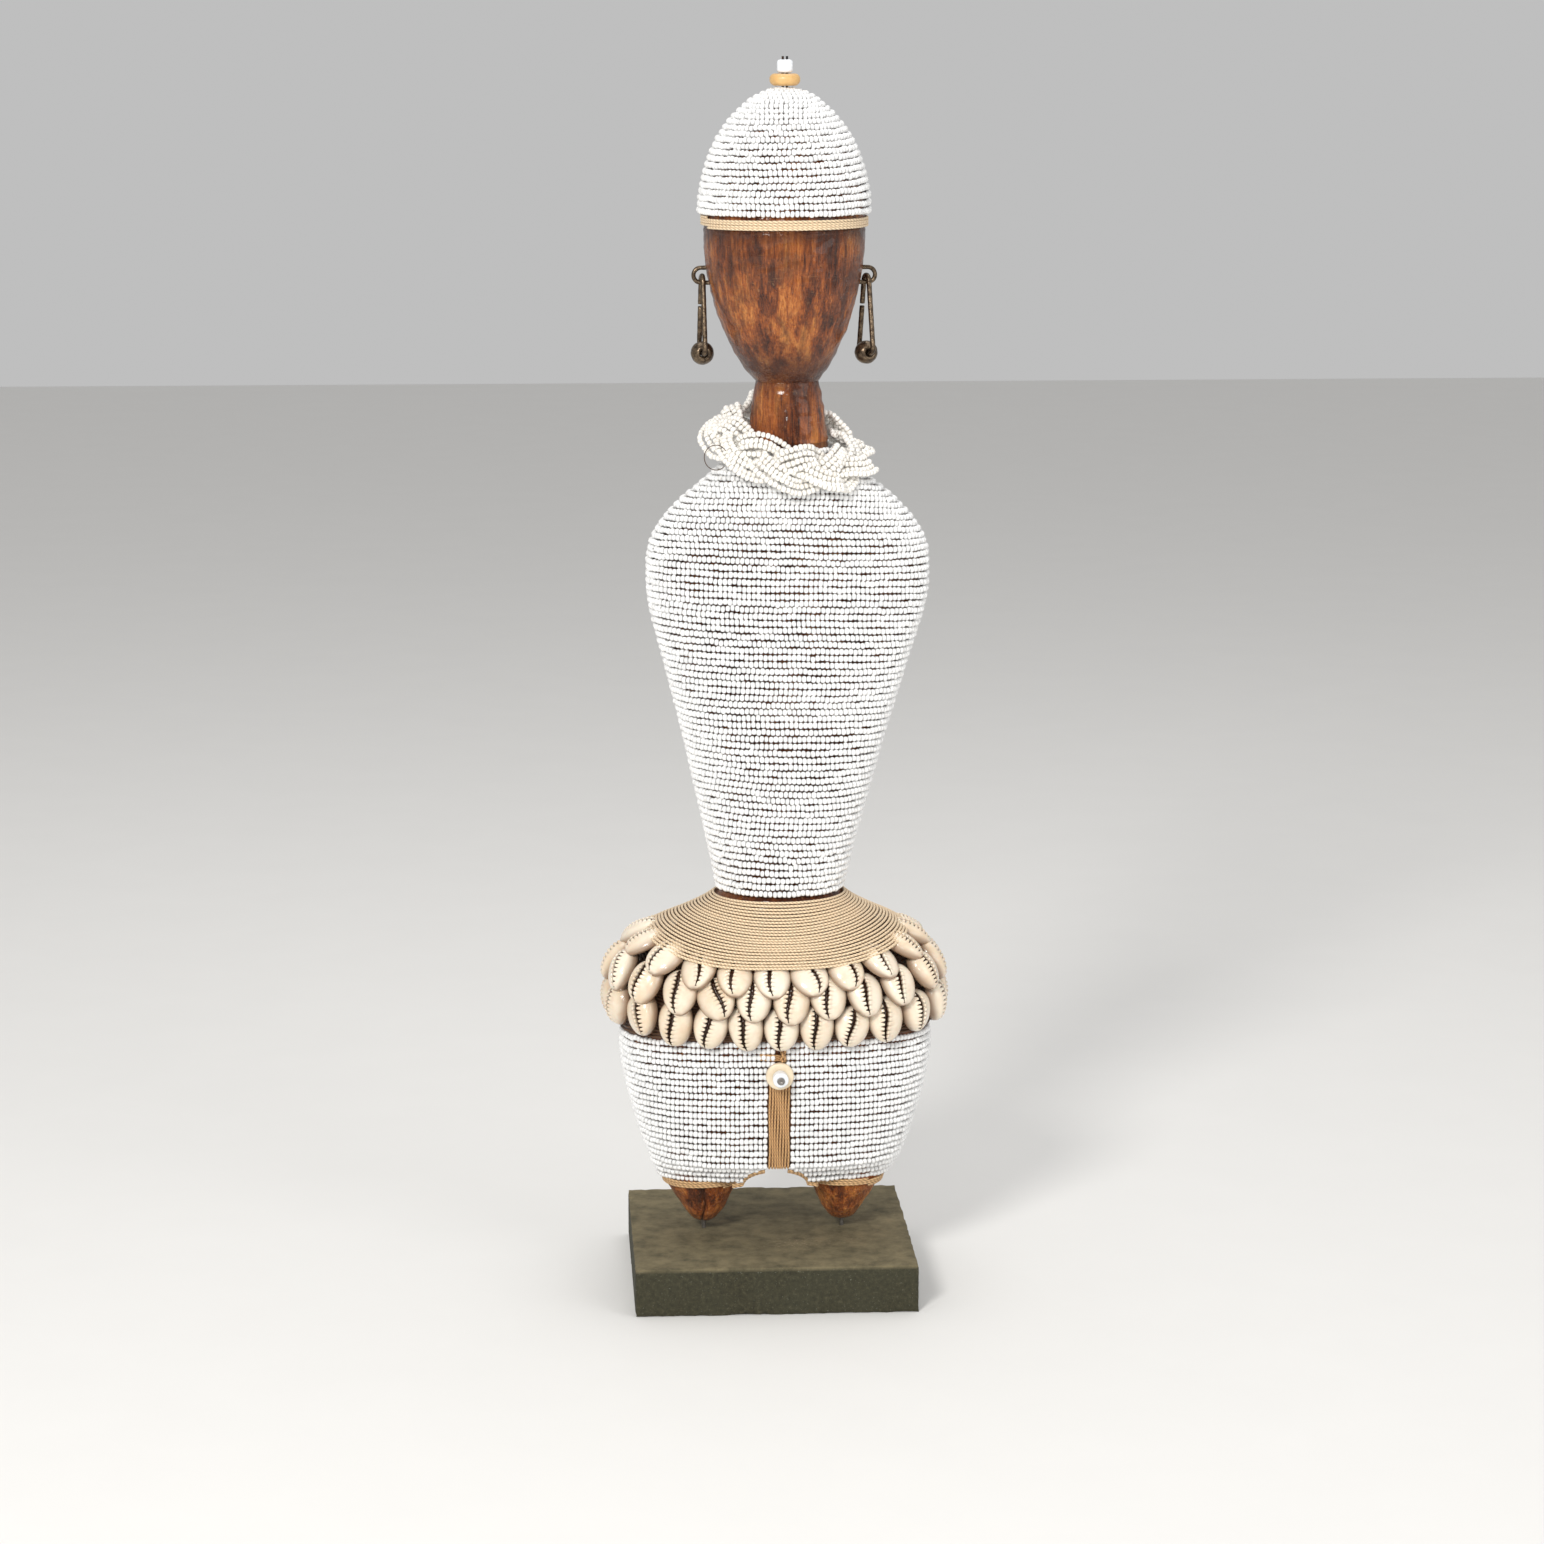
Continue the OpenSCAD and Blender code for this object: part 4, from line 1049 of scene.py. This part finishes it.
def sew_shells():
    template, faces, slit, rim = shell_template()
    for name, row in SHELL_ROWS.items():
        sink, drop, extra = SHELL_SINK[name]
        verts, all_faces, tones = [], [], []
        for here, facing, lean in shell_row_places(row):
            roll = math.radians(rng.normal(4, 7))
            half = np.array([SHELL_HEIGHT[name], SHELL_W / 2, SHELL_LEN / 2])
            half = half * np.array([rng.normal(1, vary) for vary in (0.04, 0.03, 0.035)]).clip(0.93, 1.06)
            flip = 1 if rng.random() < 0.8 else -1
            shape = template * half * [1, flip, 1]
            shape = shape @ turn_matrix("x", roll).T
            shape = shape + [SHELL_BACK + 0.3 - sink, 0, drop + rng.normal(0, 0.35)]
            shape = shape @ turn_matrix("y", -lean - math.radians(extra + rng.normal(0, 1.5))).T
            shape = shape @ turn_matrix("z", facing + math.radians(rng.normal(0, 3))).T + here
            verts.append(shape)
            all_faces.append((faces if flip > 0 else faces[:, ::-1]) + len(tones) * len(template))
            tones.append(np.full(len(template), rng.uniform(0.1, 1)))
        marks = {"slit": np.tile(slit, len(tones)), "rim": np.tile(rim, len(tones))}
        new_piece(f"cowries_{name}", np.concatenate(verts), np.concatenate(all_faces), COWRIE, "root",
                  [f"cowries_{name}_row"], "cowrie", np.concatenate(tones), marks)


# ---------------------------------------------------------------- necklace

NECKLACE_X = 6
NECKLACE_TILT = 5.5
PLAIT_HALF_W, PLAIT_HALF_T, PLAIT_TURNS, WEAVE_ROUND = 6.4, 2.3, 3, 0.15
STRANDS, STRAND_SPACE, STRAND_BEAD_R, STRAND_BEAD_LEN = 4, 2.5, 1.34, 2.08


def neck_frame(p):
    """Middle of the plait at angle p, with its directions across and out."""
    c, d = np.cos(p), np.sin(p)
    slope = np.radians(35 + 33 * d * d - 4 * d)
    height = 376.6 + 9 * d - d * d - NECKLACE_TILT * c
    middle = np.stack([NECKLACE_X + 29.5 * c, -1.6 + 23 * d, height], -1)
    across = np.stack([c * np.cos(slope), d * np.cos(slope), -np.sin(slope)], -1)
    out = np.stack([c * np.sin(slope), d * np.sin(slope), np.cos(slope)], -1)
    return middle, across, out


def bundle_path(k, p):
    weave = PLAIT_TURNS * p + 2 * np.pi * k / 3
    dip = np.sin(2 * weave)
    dip = dip * np.sqrt((1 + WEAVE_ROUND) / (dip ** 2 + WEAVE_ROUND))
    middle, across, out = neck_frame(p)
    return middle + PLAIT_HALF_W * np.sin(weave)[:, None] * across + PLAIT_HALF_T * dip[:, None] * out


def plait_necklace():
    p = np.linspace(0, 2 * np.pi, 721)[:-1]
    nudge = math.radians(1)
    for k in range(3):
        run = BeadRun()
        along = unit(bundle_path(k, p + nudge) - bundle_path(k, p - nudge))
        _, _, out = neck_frame(p)
        out = unit(out - (out * along).sum(1, keepdims=True) * along)
        across = np.cross(along, out)
        for j in range(STRANDS):
            drift = rng.uniform(0, 2 * np.pi, 4)
            aside = STRAND_SPACE * (j - (STRANDS - 1) / 2)
            aside = aside + 0.55 * np.sin(2 * p + drift[0]) + 0.3 * np.sin(5 * p + drift[1])
            lift = 0.5 * np.sin(3 * p + drift[2]) + 0.35 * np.sin(7 * p + drift[3])
            path = bundle_path(k, p) + aside[:, None] * across + lift[:, None] * out
            run.add(*spread(path, out, STRAND_BEAD_LEN, closed=True), STRAND_BEAD_LEN, STRAND_BEAD_R)
        run.build(f"necklace_beads_{k + 1}", NECKLACE_BEADS, "necklace", [f"necklace_bundle_{k + 1}"],
                  "necklace_beads")


def loose_thread():
    """The end of the necklace thread, a small loop at its left."""
    t = np.linspace(-0.35 * np.pi, 1.25 * np.pi, 40)
    path = np.stack([-26.5 - 5.0 * np.sin(t), -19 + 1.5 * np.cos(t), 371 + 5.2 * np.cos(t)], -1)
    run = TubeRun()
    run.add(path, NORMAL_Y, round_outline(0.2, 6, 0.0))
    run.tones.append(np.full(run.size, 0.4))
    run.build("necklace_thread_end", DARK_CORD, [], "dark_cord", "necklace")


# ---------------------------------------------------------------- wire, beads and base


def round_outline(radius, sides, dents):
    """Section of a wire, a little flattened where it was hammered."""

    def outline(run):
        a = ring_angles(sides)
        reach = radius * (1 + dents * np.sin(run[:, None] * 1.3 + 2 * a)) + 0 * a
        return reach * np.cos(a), reach * np.sin(a)

    return outline


def make_wire(name, paths, normal, radius, sides, dents, material, node, slot, body="root"):
    run = TubeRun()
    for path in paths:
        run.add(np.array(path), normal, round_outline(radius, sides, dents))
    run.build(name, material, [node], slot, body)


STAPLE_Z, STAPLE_BEND, STAPLE_REACH, STAPLE_IN, STAPLE_R = 447.4, 3.2, 35.9, 25, 0.95
HOOP_REACH, HOOP_TOP_R, HOOP_CORNER_R, HOOP_SPLAY, HOOP_LEG, HOOP_R = 35.4, 2.9, 2.6, 9.5, 28, 1.1
HOOP_Z = STAPLE_Z - STAPLE_BEND
HOOP_TURNS = {"left": 7, "right": 18}
HOOP_SPLIT_AT, HOOP_SPLIT = 10, 1.2
EAR_BEAD_R, EAR_BEAD_HALF = 5, 4.3


def bend(centre, radius, start, end):
    return [(centre[0] + radius * math.cos(t), centre[1] + radius * math.sin(t))
            for t in np.radians(np.linspace(start, end, 16))]


def hoop_outline():
    """The hoop in its own plane, from the split in one leg over the top, down and round to the
    split again, and the height of its bottom bar."""
    c, s = math.cos(math.radians(HOOP_SPLAY)), math.sin(math.radians(HOOP_SPLAY))
    top = (HOOP_TOP_R * c, HOOP_TOP_R * s)
    leg_end = (top[0] + HOOP_LEG * s, top[1] - HOOP_LEG * c)
    corner = (leg_end[0] - HOOP_CORNER_R * c, leg_end[1] - HOOP_CORNER_R * s)

    def down(side, run):
        return (side * (top[0] + run * s), top[1] - run * c)

    points = [down(-1, HOOP_SPLIT_AT - t) for t in np.linspace(0, HOOP_SPLIT_AT, 8)[:-1]]
    points += bend((0, 0), HOOP_TOP_R, 180 - HOOP_SPLAY, HOOP_SPLAY)
    points += [down(1, t) for t in np.linspace(0, HOOP_LEG, 16)[1:-1]]
    points += bend(corner, HOOP_CORNER_R, HOOP_SPLAY, -90)
    points += bend((-corner[0], corner[1]), HOOP_CORNER_R, -90, -180 - HOOP_SPLAY)
    points += [down(-1, t) for t in np.linspace(HOOP_LEG, HOOP_SPLIT_AT + HOOP_SPLIT, 12)[1:]]
    return np.array(points), corner[1] - HOOP_CORNER_R


def hoop_frame(side, name):
    turn = math.radians(-90 + HOOP_TURNS[name])
    origin = np.array([HEAD_X + side * HOOP_REACH, 0, HOOP_Z])
    across = np.array([math.cos(turn), math.sin(turn), 0])
    return origin, across, np.cross(across, [0, 0, 1])


def spun_bead(profile, centre, axis, around=40, dents=0.0, seed=3):
    """A turned bead from (along, radius) points, closed through its hole."""
    axis = unit(np.array(axis, float))
    side = unit(np.cross(axis, [0.3, 0.2, 1] if abs(axis[2]) < 0.9 else [1, 0.2, 0]))
    up = np.cross(axis, side)
    verts = np.array([centre + p * axis + r * (math.cos(t) * side + math.sin(t) * up)
                      for p, r in profile for t in ring_angles(around)[0]])
    if dents:
        out = unit(verts - centre)
        verts = verts + out * (dents * lumps(verts, 3.0, seed))[:, None]
    return verts, grid_faces(len(profile), around, joined=True, flip=True)


def rounded_profile(radius, length, bore, edge):
    """Outline of a bead from -length/2 to length/2: bore, rounded shoulders, bore."""
    half = length / 2
    corner = [(-half + edge - edge * math.cos(t), radius - edge + edge * math.sin(t))
              for t in np.linspace(0, math.pi / 2, 7)]
    mirror = [(-p, r) for p, r in reversed(corner)]
    lip = 0.35
    return ([(-half + lip, bore), (-half, bore + lip)] + corner + mirror
            + [(half, bore + lip), (half - lip, bore)])


def make_earrings():
    outline, bar_z = hoop_outline()
    for side, name in SIDES:
        direction = np.array([side, 0, 0])
        start = np.array([HEAD_X + side * STAPLE_IN, 0, STAPLE_Z])
        reach = STAPLE_REACH - STAPLE_IN
        staple = [start + direction * reach * t + [0, 0, STAPLE_BEND] for t in np.linspace(0, 1, 8)[:-1]]
        staple += [start + direction * (reach + x) + [0, 0, z] for x, z in bend((0, 0), STAPLE_BEND, 90, -90)]
        staple += [start + direction * reach * (1 - t) - [0, 0, STAPLE_BEND]
                   for t in np.linspace(0, 1, 8)[1:]]
        make_wire(f"ear_staple_{name}_wire", [staple], NORMAL_Y, STAPLE_R, 14, 0.03, BRONZE,
                  f"ear_staple_{name}", "dark_bronze")
        origin, across, face = hoop_frame(side, name)
        path = origin + outline[:, :1] * across + outline[:, 1:] * np.array([0, 0, 1])
        make_wire(f"hoop_{name}_wire", [path], face, HOOP_R, 14, 0.035, BRONZE, f"earring_hoop_{name}",
                  "dark_bronze", f"{name}_hoop")
        ball = [(p, math.sqrt(EAR_BEAD_R ** 2 - p ** 2))
                for p in np.linspace(-EAR_BEAD_HALF, EAR_BEAD_HALF, 17)]
        lip = EAR_BEAD_HALF - 0.4
        bead = spun_bead([(-lip, 1.45)] + ball + [(lip, 1.45)], origin + [0, 0, bar_z], across, dents=0.09)
        new_piece(f"hoop_{name}_bead", *bead, BRONZE, f"{name}_ear_bead", [f"earring_bead_{name}"],
                  "dark_bronze")


FINIAL_X, FINIAL_LOW, FINIAL_DISC_T, FINIAL_BARREL_LEN = 4.2, 527.6, 5.1, 5.6
BUTTON_Z, BUTTON_FACE_Y, BUTTON_DISC_T, BUTTON_BARREL_LEN = 101, -34.1, 2.6, 6.4
BARREL_R = 3.4           # both white barrel beads
LOOSE_GAP = 0.3          # left between loose beads


def make_finial():
    """Amber disc and white barrel on the two prongs of the crown wire."""
    disc = spun_bead(rounded_profile(6.5, FINIAL_DISC_T, 1.9, 2.2),
                     [FINIAL_X, 0, FINIAL_LOW + FINIAL_DISC_T / 2], [0, 0, 1], 56, 0.1)
    new_piece("crown_disc_amber", *disc, AMBER, "crown_disc", ["finial_disc_bead"], "amber_disc")
    barrel_mid = FINIAL_LOW + FINIAL_DISC_T + LOOSE_GAP + FINIAL_BARREL_LEN / 2
    barrel = spun_bead(rounded_profile(BARREL_R, FINIAL_BARREL_LEN, 1.9, 1.3),
                       [FINIAL_X, 0, barrel_mid], [0, 0, 1], 44, 0.05, 8)
    new_piece("crown_barrel_white", *barrel, BARREL, "crown_barrel", ["finial_barrel_bead"], "barrel_bead")
    z = np.linspace(506, 540, 14)
    prongs = [np.stack([FINIAL_X + aside + 0.05 * np.sin(z), 0 * z, z], -1) for aside in (-0.9, 0.9)]
    make_wire("crown_wire", prongs, NORMAL_Y, 0.5, 12, 0.04, IRON, "finial_wire", "black_wire")


def make_button():
    """Cream disc and white barrel on a steel pin with a dished head."""
    disc_mid = BUTTON_FACE_Y - LOOSE_GAP - BUTTON_DISC_T / 2
    barrel_mid = disc_mid - BUTTON_DISC_T / 2 - LOOSE_GAP - BUTTON_BARREL_LEN / 2
    head_y = barrel_mid - BUTTON_BARREL_LEN / 2 - LOOSE_GAP - 0.4
    disc = spun_bead(rounded_profile(6.1, BUTTON_DISC_T, 1.05, 0.9), [0, disc_mid, BUTTON_Z],
                     [0, -1, 0], 56, 0.06)
    new_piece("button_disc_cream", *disc, CREAM, "button_disc", ["front_button_disc"], "cream_disc")
    barrel = spun_bead(rounded_profile(BARREL_R, BUTTON_BARREL_LEN, 1.05, 1.3),
                       [0, barrel_mid, BUTTON_Z], [0, -1, 0], 44, 0.05, 9)
    new_piece("button_barrel_white", *barrel, BARREL, "button_barrel", ["front_button_barrel"], "barrel_bead")
    shank = [(-22.4, 0.01), (-22.4, 0.75), (-0.42, 0.75)]
    head = [(-0.4, 1.3), (-0.2, 1.6), (0.1, 1.7), (0.35, 1.45), (0.3, 0.95), (0.1, 0.6), (0.1, 0.01)]
    pin = spun_bead(shank + head, [0, head_y, BUTTON_Z], [0, -1, 0], 28)
    new_piece("button_pin_steel", *pin, STEEL, "root", ["front_button_pin"], "pin_steel")


def make_pins():
    for side, name in SIDES:
        low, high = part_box(f"mounting_pin_{name}")
        x = (low[0] + high[0]) / 2 / MM
        z = np.linspace(low[2] / MM, high[2] / MM, 24)
        path = np.stack([x + 0.04 * np.sin(z * 0.7), 0 * z, z], -1)
        make_wire(f"pin_{name}_steel", [path], NORMAL_Y, 1.0, 16, 0.02, STEEL, f"mounting_pin_{name}",
                  "pin_steel")


def make_base():
    """Sawn slab: slightly wavy faces, nibbled edges, dust on its top and a spill of it at the front."""
    low, high = (np.array(c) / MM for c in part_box("stone_base"))
    cells = np.array([62, 60, 11])
    grids = [np.linspace(low[k], high[k], cells[k] + 1) for k in range(3)]
    index, verts, faces = {}, [], []

    def corner(i, j, k):
        key = (i, j, k)
        if key not in index:
            index[key] = len(verts)
            verts.append((grids[0][i], grids[1][j], grids[2][k]))
        return index[key]

    for axis in range(3):
        u, v = [n for n in range(3) if n != axis]
        for end in (0, cells[axis]):
            for a in range(cells[u]):
                for b in range(cells[v]):
                    quad = []
                    for du, dv in ((0, 0), (1, 0), (1, 1), (0, 1)):
                        at = [0, 0, 0]
                        at[axis], at[u], at[v] = end, a + du, b + dv
                        quad.append(corner(*at))
                    outward = (end > 0) == (axis != 1)
                    faces.append(quad if outward else quad[::-1])
    verts = np.array(verts)
    centre, half = (low + high) / 2, (high - low) / 2
    room = half - np.abs(verts - centre)
    edge = np.exp(-np.sort(room, axis=1)[:, :2].sum(1) / 0.9)
    nibble = (0.55 + 0.45 * lumps(verts, 7, 21)).clip(0.1, 1.6) * edge
    inward = unit(np.sign(centre - verts) * (room < 1.5) + 1e-9)
    verts = verts + inward * nibble[:, None] * 0.75
    verts[:, 2] -= np.where(verts[:, 2] > high[2] - 0.2, np.abs(0.05 * lumps(verts, 30, 22)), 0)
    dust = np.where(verts[:, 2] > high[2] - 1.2, 1.0, 0.0)
    spill = 0
    for strength, x, y, wide, deep in ((1, 8, -26, 14, 10), (0.5, 34, -22, 9, 6)):
        away = ((verts[:, 0] - x) / wide) ** 2 + ((verts[:, 1] - y) / deep) ** 2
        spill = spill + strength * np.exp(-away) * dust
    new_piece("stone_slab", verts, np.array(faces), STONE, "root", ["stone_base"], "stone", dust,
              {"spill": spill.clip(0, 1)}, smooth=False)


# ---------------------------------------------------------------- build

make_camera()
make_studio()

SEED_BEADS = bead_material("white_seed_beads", (0.91, 0.91, 0.905), (0.70, 0.705, 0.71), (0.34, 0.25, 0.17))
NECKLACE_BEADS = bead_material("necklace_seed_beads", (0.92, 0.90, 0.86), (0.78, 0.74, 0.67),
                               (0.45, 0.33, 0.20))
TAN_CORD = cord_material("tan_twisted_cord", (1.0, 0.84, 0.60), (0.78, 0.56, 0.34), (0.14, 0.06, 0.024))
STRIP_CORD = cord_material("brown_strip_cord", (0.80, 0.49, 0.23), (0.46, 0.24, 0.09), (0.06, 0.024, 0.01))
DARK_CORD = cord_material("dark_bed_cord", (0.15, 0.075, 0.035), (0.07, 0.033, 0.015), (0.02, 0.01, 0.006))
CUFF_CORD = cord_material("ankle_twisted_cord", (0.80, 0.54, 0.29), (0.48, 0.28, 0.12), (0.08, 0.03, 0.012))
WOOD = wood_material()
COWRIE = cowrie_material()
BRONZE = bronze_material()
IRON = iron_material()
STEEL = steel_material()
STONE = stone_material()
CREAM = disc_material("cream_shell_disc", (0.82, 0.72, 0.55), (0.70, 0.56, 0.38), 0.38)
AMBER = disc_material("amber_tan_disc", (0.76, 0.48, 0.19), (0.60, 0.34, 0.12), 0.42)
BARREL = disc_material("white_barrel_glass", (0.88, 0.90, 0.93), (0.80, 0.83, 0.88), 0.2)

carve_figure()
wind_torso()
wind_cap()
wind_hips()
wind_layer("waist_cord", "waist_cord_skirt", TAN_CORD, "tan_cord", SKIRT_ROWS, (0.4, 0.7), 1.42, 0.9,
           0.09, twist=3.2)
wind_layer("shell_bed_winding", "shell_bed_cord", DARK_CORD, "dark_cord", BED_ROWS, (0.7, 0.7), 1.5, 1.5,
           0.12, sides=6)
wind_layer("cap_band", "cap_band_cord", TAN_CORD, "tan_cord", BAND_ROWS, (0.55, 0.55), 1.1, 1.0, 0.14,
           BAND_CORD_R, inset=0.05, start=200)
wind_cuffs()
lay_strips()
sew_shells()
plait_necklace()
loose_thread()
make_earrings()
make_finial()
make_button()
make_pins()
make_base()
